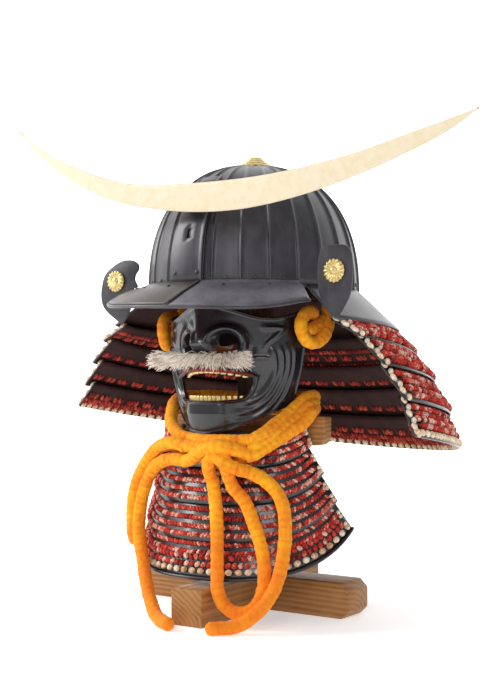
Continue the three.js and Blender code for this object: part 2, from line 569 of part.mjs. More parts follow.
// ---- stand ----
function makeStand() {
  const beamFront = BEAM.y - BEAM.width / 2;
  const beamBack = BEAM.y + BEAM.width / 2;
  const foot = [
    [FOOT.frontY, 0], [FOOT.backY, 0], [FOOT.backY, BEAM.height], [beamBack + GAP, BEAM.height],
    [beamBack + GAP, BEAM.lapZ - GAP], [beamFront - GAP, BEAM.lapZ - GAP],
    [beamFront - GAP, BEAM.height], [FOOT.frontY, BEAM.height],
  ];
  addMesh('stand_foot', plateAlong(foot, FOOT.halfWidth).translate(FOOT.x, 0, 0), WOOD);

  const beam = new THREE.Shape();
  const [left, right] = [BEAM.x - BEAM.halfLength, BEAM.x + BEAM.halfLength];
  const [lapLeft, lapRight] = [FOOT.x - FOOT.halfWidth - GAP, FOOT.x + FOOT.halfWidth + GAP];
  const [high, c] = [BEAM.height, BEAM.chamfer];
  [[left + c, 0], [lapLeft, 0], [lapLeft, BEAM.lapZ], [lapRight, BEAM.lapZ], [lapRight, 0], [right - c, 0],
    [right, c], [right, high - c], [right - c, high], [left + c, high], [left, high - c], [left, c],
  ].forEach(([x, z], i) => (i === 0 ? beam.moveTo(x, z) : beam.lineTo(x, z)));
  addMesh('stand_beam', plateAcross(beam, beamFront, BEAM.width), WOOD);

  addMesh('stand_post', block(
    [-POST.halfWidth, POST.frontY, BEAM.height + GAP],
    [POST.halfWidth, POST.backY, POST.topZ - GAP],
  ), WOOD);

  const bar = new THREE.Shape();
  const [reach, corner] = [BAR.halfLength, BAR.corner];
  bar.moveTo(-reach, BAR.topZ);
  bar.lineTo(-reach, BAR.bottomZ + corner);
  bar.quadraticCurveTo(-reach, BAR.bottomZ, -reach + corner, BAR.bottomZ);
  bar.lineTo(reach - corner, BAR.bottomZ);
  bar.quadraticCurveTo(reach, BAR.bottomZ, reach, BAR.bottomZ + corner);
  bar.lineTo(reach, BAR.topZ);
  addMesh('stand_bar', plateAcross(bar, BAR.frontY, POST.frontY - GAP - BAR.frontY, 4), WOOD);

  addMesh('chin_rest', block(
    [-CHIN_REST.halfWidth, CHIN_REST.frontY, CHIN_REST.bottomZ],
    [CHIN_REST.halfWidth, BAR.frontY - GAP, BAR.topZ],
  ), WOOD);

  // Its top follows the bowl's inner face
  const inner = { wide: BOWL.halfWidth - BOWL.wall, high: BOWL.height - BOWL.wall };
  const domeZ = (r) => {
    const level = (1 - (r / inner.wide) ** BOWL.fullness) ** (1 / BOWL.fullness);
    return BOWL.rimZ - 2 * GAP + inner.high * level;
  };
  const profile = [[0, HEAD_REST.bottomZ], [HEAD_REST.radius, HEAD_REST.bottomZ]];
  for (const r of span(HEAD_REST.radius, 0, 4)) profile.push([r, domeZ(r)]);
  const dome = new THREE.LatheGeometry(profile.map(([r, z]) => new THREE.Vector2(r, z)), 20);
  dome.rotateX(Math.PI / 2);
  addMesh('head_rest', dome, WOOD);
}

makeBowl();
makeFrontPlate();
makeVisor();
makeCrownFitting();
makeCrest();
makeTurnbacks();
makeNeckGuard();
makeThroatGuard();
makeMask();
makeMoustache();
makeCords();
makeStand();

export default group;
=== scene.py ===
"""The finish of a samurai helmet with its half mask, throat guard and tied cord, on a wooden stand.

Objects are in metres in the solid model's frame: +Z up, the face looks along -Y, +X is the wearer's
left, and the origin is on the table below the middle of the bowl. Tables and forms are in
millimetres, and MM turns them into metres.
"""
import json
import random
from math import asin, copysign, cos, degrees, exp, hypot, pi, radians, sin

import bmesh
import bpy
import numpy
from mathutils import Matrix, Vector, noise
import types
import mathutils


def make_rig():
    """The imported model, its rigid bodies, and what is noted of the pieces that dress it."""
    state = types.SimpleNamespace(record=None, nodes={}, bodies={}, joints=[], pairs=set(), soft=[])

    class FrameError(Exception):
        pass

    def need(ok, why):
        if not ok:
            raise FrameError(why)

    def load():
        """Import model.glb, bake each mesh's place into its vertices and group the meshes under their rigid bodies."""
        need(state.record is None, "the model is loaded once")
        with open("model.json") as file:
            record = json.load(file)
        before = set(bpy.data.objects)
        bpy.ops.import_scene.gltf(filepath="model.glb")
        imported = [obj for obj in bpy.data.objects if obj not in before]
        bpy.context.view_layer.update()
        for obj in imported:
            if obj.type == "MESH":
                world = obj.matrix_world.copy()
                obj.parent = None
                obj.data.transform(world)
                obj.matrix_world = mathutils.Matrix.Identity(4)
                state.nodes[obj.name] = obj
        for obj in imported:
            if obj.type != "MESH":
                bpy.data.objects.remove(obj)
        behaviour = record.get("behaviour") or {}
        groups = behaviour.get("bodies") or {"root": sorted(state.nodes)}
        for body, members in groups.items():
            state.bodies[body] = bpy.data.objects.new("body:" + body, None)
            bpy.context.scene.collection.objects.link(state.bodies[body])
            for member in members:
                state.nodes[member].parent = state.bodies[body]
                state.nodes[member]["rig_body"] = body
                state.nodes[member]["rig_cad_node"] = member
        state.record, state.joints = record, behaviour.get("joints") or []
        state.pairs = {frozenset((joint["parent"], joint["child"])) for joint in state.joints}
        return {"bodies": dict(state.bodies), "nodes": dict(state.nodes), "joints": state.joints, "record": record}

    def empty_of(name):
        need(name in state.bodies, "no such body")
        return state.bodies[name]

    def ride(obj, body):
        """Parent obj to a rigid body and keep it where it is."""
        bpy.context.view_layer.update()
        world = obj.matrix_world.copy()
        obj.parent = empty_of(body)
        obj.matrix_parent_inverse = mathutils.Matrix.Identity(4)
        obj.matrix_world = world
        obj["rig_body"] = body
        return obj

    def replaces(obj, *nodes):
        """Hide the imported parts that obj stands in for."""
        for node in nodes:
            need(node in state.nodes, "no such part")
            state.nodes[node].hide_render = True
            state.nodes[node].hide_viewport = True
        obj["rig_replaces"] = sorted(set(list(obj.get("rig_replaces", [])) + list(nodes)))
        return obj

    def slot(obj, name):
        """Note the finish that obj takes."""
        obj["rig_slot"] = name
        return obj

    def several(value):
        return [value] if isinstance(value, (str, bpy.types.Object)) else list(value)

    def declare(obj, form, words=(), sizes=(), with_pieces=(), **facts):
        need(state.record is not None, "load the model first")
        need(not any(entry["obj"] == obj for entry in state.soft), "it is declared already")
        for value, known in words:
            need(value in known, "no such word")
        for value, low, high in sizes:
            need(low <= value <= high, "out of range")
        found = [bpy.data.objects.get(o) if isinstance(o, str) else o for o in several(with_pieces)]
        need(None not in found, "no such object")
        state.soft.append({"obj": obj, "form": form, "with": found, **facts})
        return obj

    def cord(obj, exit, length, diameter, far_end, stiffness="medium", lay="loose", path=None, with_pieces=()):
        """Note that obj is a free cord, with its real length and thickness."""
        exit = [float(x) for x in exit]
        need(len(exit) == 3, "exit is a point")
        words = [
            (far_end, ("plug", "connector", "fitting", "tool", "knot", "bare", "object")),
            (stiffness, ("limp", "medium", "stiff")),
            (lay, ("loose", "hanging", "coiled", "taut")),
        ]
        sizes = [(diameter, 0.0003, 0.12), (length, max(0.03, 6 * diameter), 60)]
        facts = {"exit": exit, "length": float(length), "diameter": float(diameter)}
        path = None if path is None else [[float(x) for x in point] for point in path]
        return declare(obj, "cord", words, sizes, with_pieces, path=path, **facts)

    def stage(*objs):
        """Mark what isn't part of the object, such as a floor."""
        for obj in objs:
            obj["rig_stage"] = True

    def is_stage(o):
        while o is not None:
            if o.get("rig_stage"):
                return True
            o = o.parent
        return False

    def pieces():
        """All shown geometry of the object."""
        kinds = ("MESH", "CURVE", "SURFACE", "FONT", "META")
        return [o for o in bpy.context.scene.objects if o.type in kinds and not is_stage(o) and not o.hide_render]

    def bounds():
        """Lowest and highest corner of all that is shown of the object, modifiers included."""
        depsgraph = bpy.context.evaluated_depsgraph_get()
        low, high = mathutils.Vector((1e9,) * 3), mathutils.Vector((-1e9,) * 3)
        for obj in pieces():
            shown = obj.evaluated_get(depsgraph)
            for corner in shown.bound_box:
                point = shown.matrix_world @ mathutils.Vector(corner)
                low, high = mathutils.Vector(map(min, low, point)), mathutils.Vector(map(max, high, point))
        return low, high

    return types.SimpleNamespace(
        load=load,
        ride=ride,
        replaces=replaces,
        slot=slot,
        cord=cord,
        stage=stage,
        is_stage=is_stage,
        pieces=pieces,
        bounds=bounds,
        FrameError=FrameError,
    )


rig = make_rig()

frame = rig.load()
CAD_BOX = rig.bounds()
NODES = frame["nodes"]
MM = 0.001


def table(columns, *rows):
    """Rows of numbers as dictionaries that share these column names."""
    return [dict(zip(columns.split(), row)) for row in rows]


# ---- forms, in millimetres: the solids' own, but for the visor's lean, the mouth, teeth and nostrils ----
BOWL = {"half_width": 115.6, "half_length": 132, "height": 147, "rim_z": 364, "wall": 2.4, "fullness": 2.3}
BOWL_MIDDLE = (0, 0, BOWL["rim_z"])
RIBS = 24
RIB = {"height": 2.3, "half_width": 1.3, "lap": 0.5}
FRONT_PLATE = {"half_width": 19, "thick": 2.2, "lift": 2.0, "low": 0.4, "high": 54}
VISOR = {"root_angle": 60, "root_z": 369, "half_width": 130, "back_y": -80, "reach": 93, "sweep": 85,
         "edge_z": 341, "lift": 12, "lean": 5, "thick": 2.2, "bulge": 3, "squareness": 2.2, "seam": 0.15}
NECK_ROWS = table(
    "radius z corner lean slope",
    (168, 324, 64.5, 0, 0.06),
    (189, 301, 69.5, 0, 0.14),
    (210, 274, 74, 2, 0.14),
    (228, 243, 77.5, 7, 0.14),
    (238, 211, 78, 13, 0.14),
)
NECK_TUCK = {"radius": 12, "height": 4}
THROAT_LAMES = 4
THROAT_TUCK = {"down": 0.03, "inward": 6}
THROAT_TOP = {"half_width": 88, "rear_y": -38, "front_y": -90, "front_z": 206, "rear_z": 221}
THROAT_HEM = {"half_width": 135, "rear_y": -7, "front_y": -126, "front_z": 48, "rear_z": 99}
MASK = {"wall": 3, "rear_y": -34, "jaw_rise": 44, "bottom_z": 204, "jaw_half": 80,
        "brow_z": 346, "cheek_z": 330, "end_z": 338}
MASK_ROWS = table(
    "z half_width front muzzle",
    (204, 58, 50, 16),
    (225, 68, 52, 18),
    (246, 76, 52, 17),
    (275, 84, 53, 15),
    (300, 88, 56, 9),
    (346, 85, 60, 5),
)
NOSE = {"reach": 17, "half_width": 17, "base_z": 289, "tip_z": 303}
NOSTRIL = {"x": 26, "z": 303, "shade_x": 24, "shade_z": 308}
# The lower lip from the end of its flat middle up to the corner, and the rise of the upper lip
LIP_BEND = [(27, 240), (40, 240), (47, 250), (49, 265)]
LIP_FLAT = 0.42
LIP_ARCH = 7.5
TEETH = {"spread": 33, "depth": 2.6, "ease": 1.15, "lower_z": 240.8}
MOUSTACHE = {"hairs": 2600, "half_width": 55, "root_z": 287, "low_z": 272, "high_z": 296, "end_y": -104}
CORD_RADIUS = 6.5
CORD_STEP = 1.5
PILE = {"depth": 0.5, "swell": 0.5, "rib": 0.32, "rib_pitch": 7.5, "floor": 0.2}

# The tied cord's routes, as in the solids, and how each one ends
ROUTES = {
    "cord_jaw_upper": [
        (61.4, -104, 197), (67, -101.5, 199.5), (73, -92, 205), (76, -77, 213.5), (80, -61, 222),
        (84, -46, 232), (88, -32, 241), (89, -18, 244), (82, -2, 243), (62, 12, 243), (36, 22, 242),
        (0, 26, 241), (-36, 22, 242), (-62, 12, 243), (-82, -2, 243), (-90, -18, 242), (-89, -34, 239),
        (-84, -48, 233), (-75, -62, 225), (-64, -78, 215), (-48, -92, 207), (-30, -102, 199.5),
        (-11.4, -106, 196.5)],
    "cord_jaw_lower": [
        (61.4, -108, 181), (67, -105, 182.5), (74, -93, 189.5), (82, -79, 198), (90, -65, 207),
        (97, -51, 215.5), (100, -38, 226.5), (96, -25, 230.5), (86, -11, 230), (66, -3, 229.2),
        (40, 0, 229.2), (16.4, 0, 229.2)],
    "cord_loop_right": [
        (-11.4, -119, 189), (-22, -119, 192.5), (-40, -116, 192.5), (-58, -111, 186), (-74, -107, 173),
        (-88, -104, 156), (-98, -102, 136), (-102, -101, 118), (-103, -100, 102), (-105, -97, 89),
        (-110, -89, 79.5), (-117.5, -78.5, 76), (-125, -67.5, 79.5), (-130, -60, 89), (-132, -57, 102),
        (-132, -56, 122), (-128, -57, 142), (-117, -62, 160), (-100, -70, 174), (-80, -80, 184),
        (-58, -90, 189), (-38, -98, 187.5), (-22, -102, 183.5), (-11.4, -103.5, 181)],
    "cord_loop_left": [
        (20, -113, 156.6), (22, -114, 148), (28, -118, 128), (33, -123, 104), (37, -128, 80),
        (40, -132, 56), (41, -133, 40), (46, -132, 27), (55, -130, 19), (66, -127, 16.5), (77, -123, 20),
        (84, -119, 29), (88, -116, 42), (88, -114, 56), (86, -112, 70), (80, -110, 90), (71, -109, 110),
        (60, -109, 132), (46, -112, 148), (42, -113, 156.6)],
    "cord_tail_right": [
        (-11.4, -117, 173.5), (-24, -116, 175), (-42, -113, 174), (-58, -110, 168), (-71, -107, 157),
        (-80, -105, 142), (-86, -105, 124), (-88, -106, 106), (-86, -109, 88), (-78, -115, 71),
        (-67, -124, 54), (-54, -135, 37), (-40, -146, 23), (-26, -156, 12), (-12, -165, 7.6),
        (2, -173, 7), (14, -180, 7)],
    "cord_tail_left": [
        (61.4, -112, 166), (68, -110, 164), (80, -104, 157), (91, -98, 146), (99, -96, 131),
        (103, -97, 114), (105, -100, 96), (106, -105, 78), (106, -112, 60), (104, -121, 43),
        (99, -131, 29), (92, -140, 19), (83, -148, 11), (73, -157, 7.4), (64, -166, 7), (56, -176, 7)],
}
CHEEK_ROUTE = [
    (99, -4, 350), (104, -8, 337), (107, -14, 324), (107, -23, 311), (103, -33, 304), (99, -43, 305),
    (96, -50, 313), (95.5, -53, 322), (96.5, -50, 331), (97.5, -42, 337), (97, -32, 338), (94, -22, 334)]
FREE_ENDS = ("cord_tail_right", "cord_tail_left")

CAMERA = {"azimuth": 34, "distance": 1.4, "eye": 0.266, "aside": 0.0059, "lens": 61.3, "shift": 0.0386}
STUDIO = {"air": 0.5, "key": 42, "fill": 9, "floor_glow": 0.45, "backdrop_glow": 1.1}


# ---- small helpers ----
def mix(low, high, share):
    return low + (high - low) * share


def smoothstep(value, low, high):
    share = min(max((value - low) / (high - low), 0.0), 1.0)
    return share * share * (3 - 2 * share)


def power(value, exponent):
    return copysign(abs(value) ** exponent, value)


def bell(value, middle, width):
    return exp(-((value - middle) / width) ** 2)


def span(low, high, steps):
    return [mix(low, high, i / steps) for i in range(steps + 1)]


# ---- materials: shader maths as Python expressions ----
class Value:
    """A socket's value. Operators on it add Math nodes to its finish."""

    def __init__(self, finish, socket):
        self.finish = finish
        self.socket = socket

    def maths(self, operation, *values):
        settings = {"operation": operation}
        return self.finish.add("ShaderNodeMath", settings, dict(enumerate(values)))

    def __add__(self, other):
        return self.maths("ADD", self, other)

    def __sub__(self, other):
        return self.maths("SUBTRACT", self, other)

    def __rsub__(self, other):
        return self.maths("SUBTRACT", other, self)

    def __mul__(self, other):
        return self.maths("MULTIPLY", self, other)

    def ramp(self, low, high):
        """0 below low, 1 above high and smooth in between."""
        settings = {"interpolation_type": "SMOOTHSTEP"}
        values = {"Value": self, "From Min": low, "From Max": high}
        return self.finish.add("ShaderNodeMapRange", settings, values)

    __radd__ = __add__
    __rmul__ = __mul__


class Finish:
    """A material under construction. Its keyword arguments are constants of the shader's sockets."""

    def __init__(self, name, **constants):
        self.material = bpy.data.materials.new(name)
        self.material.use_nodes = True
        self.tree = self.material.node_tree
        self.shader = self.tree.nodes["Principled BSDF"]
        self.place = self.add("ShaderNodeTexCoord", output="Object")
        self.set(**constants)

    def add(self, kind, settings=None, values=None, output=0):
        """A new node with these settings and these values or links on its sockets."""
        node = self.tree.nodes.new(kind)
        for name, setting in (settings or {}).items():
            setattr(node, name, setting)
        for key, value in (values or {}).items():
            self.feed(node.inputs[key], value)
        return Value(self, node.outputs[output])

    def feed(self, socket, value):
        if isinstance(value, Value):
            self.tree.links.new(value.socket, socket)
        elif isinstance(value, tuple) and len(value) == 3 and socket.type == "RGBA":
            socket.default_value = (*value, 1)
        else:
            socket.default_value = value

    def set(self, **sockets):
        """Feeds sockets of the shader, such as base_color or roughness."""
        for name, value in sockets.items():
            self.feed(self.shader.inputs[name.replace("_", " ").title().replace("Ior", "IOR")], value)

    def blend(self, mask, low, high):
        """The colour low where mask is 0, and high where it is 1."""
        return self.add("ShaderNodeMix", {"data_type": "RGBA"}, {0: mask, 6: low, 7: high}, output=2)

    def noise(self, scale, detail=3, stretch=(1, 1, 1), place=None):
        """Cloudy noise. scale is in cycles a metre."""
        place = self.add("ShaderNodeMapping", None, {"Vector": place or self.place, "Scale": stretch})
        return self.add("ShaderNodeTexNoise", None, {"Vector": place, "Scale": scale, "Detail": detail})

    def attribute(self, name):
        return self.add("ShaderNodeAttribute", {"attribute_name": name}, output="Fac")

    def bump(self, height, distance):
        """Lets height, from 0 to 1, stand out by up to this distance in metres."""
        values = {"Height": height, "Distance": distance}
        self.feed(self.shader.inputs["Normal"], self.add("ShaderNodeBump", None, values))


def iron_finish(name, dark, light, roughness):
    """Lacquered iron: satin, cloudy, with worn edges where the mesh says worn."""
    finish = Finish(name, metallic=0.25, coat_weight=0.25, coat_roughness=0.35)
    cloud = finish.noise(38, 5)
    speck = finish.noise(900, 2)
    streak = finish.noise(160, 3, stretch=(1, 1, 0.15))
    worn = finish.attribute("worn")
    tone = (cloud * 0.6 + streak * 0.4).ramp(0.35, 0.68)
    color = finish.blend(tone, dark, light)
    wear = (worn * 0.75 + worn * (speck - 0.5)).ramp(0.25, 0.9)
    finish.set(base_color=finish.blend(wear * 0.7, color, (0.2, 0.19, 0.2)))
    finish.set(roughness=roughness + (cloud - 0.5) * 0.25 + (speck - 0.5) * 0.1)
    finish.bump(cloud * 0.5 + speck * 0.25, 0.0004)
    return finish.material


def lacquer_finish(name, color, roughness, ripple=0.0003, stain=(0.10, 0.08, 0.07), coat=0.5, shine=0.5):
    """Smooth lacquer over leather or iron, a little uneven, stained where the mesh says worn."""
    finish = Finish(name, coat_weight=coat, coat_roughness=0.08, specular_ior_level=shine)
    cloud = finish.noise(45, 3)
    speck = finish.noise(700, 2)
    shade = tuple(c * 1.7 + 0.002 for c in color)
    plain = finish.blend(cloud.ramp(0.4, 0.7), color, shade)
    finish.set(base_color=finish.blend(finish.attribute("worn") * (cloud + 0.5).ramp(0.6, 1.1), plain, stain))
    finish.set(roughness=roughness + (speck - 0.5) * 0.12 + (cloud - 0.5) * 0.1)
    finish.bump(cloud * 0.8 + speck * 0.1, ripple)
    return finish.material


def gilt_finish(name, light, dark, roughness, metallic):
    """Gilding: clouded gold, darker in its hollows."""
    finish = Finish(name, metallic=metallic)
    cloud = finish.noise(120, 4)
    speck = finish.noise(1500, 2)
    finish.set(base_color=finish.blend(cloud.ramp(0.35, 0.75), light, dark))
    finish.set(roughness=roughness + (cloud - 0.5) * 0.3 + (speck - 0.5) * 0.1)
    finish.bump(cloud * 0.6 + speck * 0.2, 0.0002)
    return finish.material


def braid_finish(name, stops):
    """Silk braid whose colour changes from stitch to stitch with the mesh's tint."""
    finish = Finish(name, roughness=0.9, sheen_weight=0.15, sheen_roughness=0.4, specular_ior_level=0.25)
    tint = finish.attribute("tint")
    thread = finish.noise(420, 2)
    shade = (tint * 0.7 + thread * 0.6 - 0.12).ramp(0.02, 1.0)
    ramp = finish.tree.nodes.new("ShaderNodeValToRGB")
    ramp.color_ramp.interpolation = "CONSTANT" if len(stops) > 3 else "LINEAR"
    while len(ramp.color_ramp.elements) < len(stops):
        ramp.color_ramp.elements.new(0.5)
    for element, (position, color) in zip(ramp.color_ramp.elements, stops):
        element.position = position
        element.color = (*color, 1)
    finish.feed(ramp.inputs[0], shade)
    color = Value(finish, ramp.outputs[0])
    finish.set(base_color=finish.blend(thread.ramp(0.62, 0.35) * 0.35, color, (0.12, 0.03, 0.02)))
    finish.bump(thread, 0.0006)
    return finish.material


def chenille_finish():
    """Orange cut-pile silk: deep orange between its tufts and bright at their tips, partly random tone and partly a
    painted highlight where the cord swells and on its ribs, and a deeper orange low down as painted shade.
    """
    finish = Finish("orange_silk", roughness=0.95, sheen_weight=0.15, sheen_roughness=0.4,
                    sheen_tint=(1.0, 0.6, 0.12, 1), subsurface_weight=0.1, subsurface_scale=0.003,
                    subsurface_radius=(1.0, 0.4, 0.1))
    pile = finish.noise(900, 3)
    tuft = finish.noise(210, 2)
    cloud = finish.noise(26, 2)
    # The tint adds a painted highlight where the cord swells and on its ribs; the noise is random tone
    light = (pile * 0.35 + tuft * 0.4 + cloud * 0.4 + finish.attribute("tint") * 0.22).ramp(0.45, 0.90)
    # Painted shade: below about 17 cm the orange is painted deeper
    height = finish.add("ShaderNodeSeparateXYZ", None, {0: finish.place}, output="Z")
    low = 1 - (height + (cloud - 0.5) * 0.1).ramp(0.02, 0.17)
    color = finish.blend(light, (0.80, 0.15, 0.006), (1.0, 0.47, 0.006))
    finish.set(base_color=finish.blend(low * 0.6, color, (0.92, 0.20, 0.010)))
    finish.bump(pile * 0.6 + tuft * 0.5, 0.0013)
    return finish.material


def hair_finish():
    """Old horse hair: tan at the roots and off-white along its length."""
    finish = Finish("horse_hair", roughness=0.55, sheen_weight=0.3)
    length = finish.attribute("along")
    tint = finish.attribute("tint")
    pale = finish.blend(tint.ramp(0.45, 1.0), (0.92, 0.86, 0.76), (0.34, 0.22, 0.13))
    dark = finish.blend(tint, (0.40, 0.25, 0.13), (0.16, 0.08, 0.04))
    finish.set(base_color=finish.blend((length + tint * 0.2).ramp(0.0, 0.4), dark, pale))
    return finish.material


def wood_finish(name, axis, light=(0.45, 0.21, 0.065), dark=(0.20, 0.08, 0.02), sheen_patches=(0.52, 0.27, 0.10)):
    """Planed softwood with growth rings round a line along the axis, open grain and end checks, and cloudy patches
    painted lighter as a painted sheen.
    """
    finish = Finish(name, specular_ior_level=0.3)
    long_way = [1, 1, 1]
    long_way[axis] = 0.04
    aside = [0.012, 0.012, 0.012]
    aside[axis] = 0
    values = {"Vector": finish.place, "Location": tuple(aside), "Scale": tuple(long_way)}
    log = finish.add("ShaderNodeMapping", None, values)
    waver = finish.noise(30, 3, place=log)
    distort = finish.add("ShaderNodeVectorMath", {"operation": "MULTIPLY_ADD"},
                         {0: waver, 1: (0.012, 0.012, 0.012), 2: log})
    length = finish.add("ShaderNodeVectorMath", {"operation": "LENGTH"}, {0: distort}, output="Value")
    turns = length * 1250
    ring = turns.maths("SINE", turns) * 0.5 + 0.5
    pore = finish.noise(900, 2, stretch=tuple(long_way))
    cloud = finish.noise(24, 3)
    grain = (ring * 0.32 + pore * 0.4 + cloud * 0.4).ramp(0.2, 0.95)
    color = finish.blend(grain, light, dark)
    # Painted highlight: cloudy patches lean towards the lighter sheen colour
    finish.set(base_color=finish.blend(cloud.ramp(0.45, 0.8) * 0.45, color, sheen_patches))
    finish.set(roughness=0.5 + (pore - 0.5) * 0.3)
    finish.bump(ring * 0.3 + pore * 0.5, 0.0004)
    return finish.material


def paper_finish(name, glow):
    """White studio paper, lit a little from behind."""
    finish = Finish(name, roughness=0.8, emission_strength=glow, emission_color=(1, 1, 1, 1))
    cloud = finish.noise(3, 2)
    finish.set(base_color=finish.blend(cloud, (0.86, 0.86, 0.86), (0.89, 0.89, 0.89)))
    return finish.material


IRON = iron_finish("dark_iron", (0.020, 0.018, 0.023), (0.044, 0.040, 0.050), 0.40)
IRON_TAN = iron_finish("rubbed_iron", (0.026, 0.020, 0.017), (0.055, 0.041, 0.033), 0.42)
# The visor's iron is painted lighter than the bowl's, as painted light on its upward face
LIT_VISOR_IRON = iron_finish("visor_iron", (0.095, 0.089, 0.106), (0.16, 0.150, 0.18), 0.42)
LAME = lacquer_finish("lame_lacquer", (0.012, 0.012, 0.015), 0.30)
MASK_LACQUER = lacquer_finish("mask_lacquer", (0.011, 0.011, 0.014), 0.22, ripple=0.0002,
                              stain=(0.16, 0.05, 0.015), coat=0.35)
RED_LACQUER = lacquer_finish("red_lacquer", (0.13, 0.014, 0.010), 0.5, coat=0.15, shine=0.25)
BROWN_LACQUER = lacquer_finish("brown_lacquer", (0.020, 0.005, 0.004), 0.65, coat=0, shine=0.15)
# Black lacquer; also used for the painted shadow strips and the painted shade discs of the peg holes
DEEP_BLACK = lacquer_finish("deep_black", (0.003, 0.003, 0.003), 0.45)
# Matte near-black, used as painted shade in the nostril pits
SHADE = lacquer_finish("deep_shade", (0.004, 0.002, 0.002), 0.85, coat=0, shine=0.05)
CREST_GILT = gilt_finish("pale_gilt", (0.74, 0.635, 0.47), (0.68, 0.58, 0.38), 0.45, 0.1)
GOLD = gilt_finish("gilt", (0.76, 0.59, 0.27), (0.54, 0.38, 0.13), 0.32, 0.7)
RED_BRAID = braid_finish("red_braid", [
    (0.0, (0.14, 0.010, 0.008)), (0.12, (0.50, 0.026, 0.017)), (0.40, (0.68, 0.055, 0.032)),
    (0.62, (0.74, 0.22, 0.15)), (0.74, (0.86, 0.62, 0.50)), (0.90, (0.62, 0.06, 0.035))])
# The red braid painted darker, as painted shade, for the stitches on the lames' inner faces
SHADED_BRAID = braid_finish("dark_braid", [
    (0.0, (0.10, 0.006, 0.005)), (0.5, (0.36, 0.020, 0.013)), (1.0, (0.60, 0.09, 0.045))])
CREAM_BRAID = braid_finish("cream_braid", [
    (0.0, (0.42, 0.20, 0.10)), (0.35, (0.78, 0.52, 0.30)), (1.0, (0.94, 0.84, 0.66))])
SILK = chenille_finish()
HAIR = hair_finish()
WOOD_X = wood_finish("wood_across", 0)
WOOD_Y = wood_finish("wood_along", 1)
# The post and head rest, inside the mask and helmet, take the wood painted dark as painted shade
SHADED_WOOD_Z = wood_finish("wood_upright", 2, (0.09, 0.045, 0.02), (0.04, 0.02, 0.01), (0.10, 0.055, 0.028))


# ---- making pieces ----
def as_mesh(name, bm, *materials):
    mesh = bpy.data.meshes.new(name)
    bm.to_mesh(mesh)
    bm.free()
    for material in materials:
        mesh.materials.append(material)
    return mesh


def add_object(name, data):
    made = bpy.data.objects.new(name, data)
    bpy.context.scene.collection.objects.link(made)
    return made


def finish_piece(name, bm, material, slot, replaced=(), inside=None, sharp=None):
    """Turns the bmesh into a piece of the object that rides on its body. inside is the finish of the
    faces behind a wall, and edges over sharp degrees stay crisp."""
    mesh = as_mesh(name, bm, *filter(None, (material, inside)))
    mesh.shade_smooth()
    if sharp:
        mesh.set_sharp_from_angle(angle=radians(sharp))
    piece = add_object(name, mesh)
    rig.ride(piece, "root")
    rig.slot(piece, slot)
    if replaced:
        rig.replaces(piece, *replaced)
    return piece


def face_away(bm, centre):
    """Turns an open sheet so that its faces look away from the centre, given in millimetres."""
    middle = Vector(centre) * MM
    bm.normal_update()
    facing = sum((f.calc_center_median() - middle).dot(f.normal) * f.calc_area() for f in bm.faces)
    if facing < 0:
        bmesh.ops.reverse_faces(bm, faces=bm.faces)


def sheet(name, across, along, place, centre, material, slot, wall=0.0, inside=None, replaced=(),
          worn=None, gap=None):
    """A sheet whose point at (u, v) is place(u, v), with its wall inside the faces that look away
    from the centre. across and along are numbers of steps or lists of shares from 0 to 1. worn gives
    the wear at (u, v), and gap says which (u, v) are left open."""
    columns = span(0, 1, across) if isinstance(across, int) else across
    rows = span(0, 1, along) if isinstance(along, int) else along
    bm = bmesh.new()
    wear = bm.verts.layers.float.new("worn")
    bmesh.ops.create_grid(bm, x_segments=len(columns) - 1, y_segments=len(rows) - 1, size=0.5)
    shares = {}
    for vert in bm.verts:
        u = columns[round((vert.co.x + 0.5) * (len(columns) - 1))]
        v = rows[round((vert.co.y + 0.5) * (len(rows) - 1))]
        shares[vert] = (u, v)
    if gap:
        open_faces = []
        for face in bm.faces:
            u = sum(shares[vert][0] for vert in face.verts) / len(face.verts)
            v = sum(shares[vert][1] for vert in face.verts) / len(face.verts)
            if gap(u, v):
                open_faces.append(face)
        bmesh.ops.delete(bm, geom=open_faces, context="FACES")
    for vert in bm.verts:
        u, v = shares[vert]
        vert.co = Vector(place(u, v)) * MM
        vert[wear] = worn(u, v) if worn else 0.0
    bmesh.ops.remove_doubles(bm, verts=bm.verts, dist=0.00001)
    face_away(bm, centre)
    piece = finish_piece(name, bm, material, slot, replaced, inside)
    if wall:
        solidify = piece.modifiers.new("wall", "SOLIDIFY")
        solidify.thickness = wall * MM
        solidify.offset = -1
        solidify.use_even_offset = True
        solidify.material_offset = 1 if inside else 0
        solidify.material_offset_rim = 0


def curve_point(start, end, leave, arrive, t):
    """The point at share t of a smooth curve that leaves start and arrives at end along these vectors."""
    return (start * (2 * t**3 - 3 * t**2 + 1) + leave * (t**3 - 2 * t**2 + t)
            + end * (3 * t**2 - 2 * t**3) + arrive * (t**3 - t**2))


def smooth_route(points, spacing):
    """Evenly spaced points, in metres, on the smooth line through these, in millimetres."""
    knots = [Vector(p) * MM for p in points]
    knots = [2 * knots[0] - knots[1], *knots, 2 * knots[-1] - knots[-2]]
    line = []
    for a, b, c, d in zip(knots, knots[1:], knots[2:], knots[3:]):
        before, here, after = ((q - p).length ** 0.5 for p, q in ((a, b), (b, c), (c, d)))
        leave = ((b - a) / before - (c - a) / (before + here) + (c - b) / here) * here
        arrive = ((c - b) / here - (d - b) / (here + after) + (d - c) / after) * here
        line.extend(curve_point(b, c, leave, arrive, i / 16) for i in range(16))
    line.append(knots[-2])
    lengths = [0.0]
    for p, q in zip(line, line[1:]):
        lengths.append(lengths[-1] + (q - p).length)
    steps = max(2, round(lengths[-1] / (spacing * MM)))
    even, j = [], 0
    for i in range(steps + 1):
        goal = lengths[-1] * i / steps
        while j < len(lengths) - 2 and lengths[j + 1] < goal:
            j += 1
        share = (goal - lengths[j]) / max(lengths[j + 1] - lengths[j], 1e-9)
        even.append(line[j].lerp(line[j + 1], min(share, 1.0)))
    return even, lengths[-1]


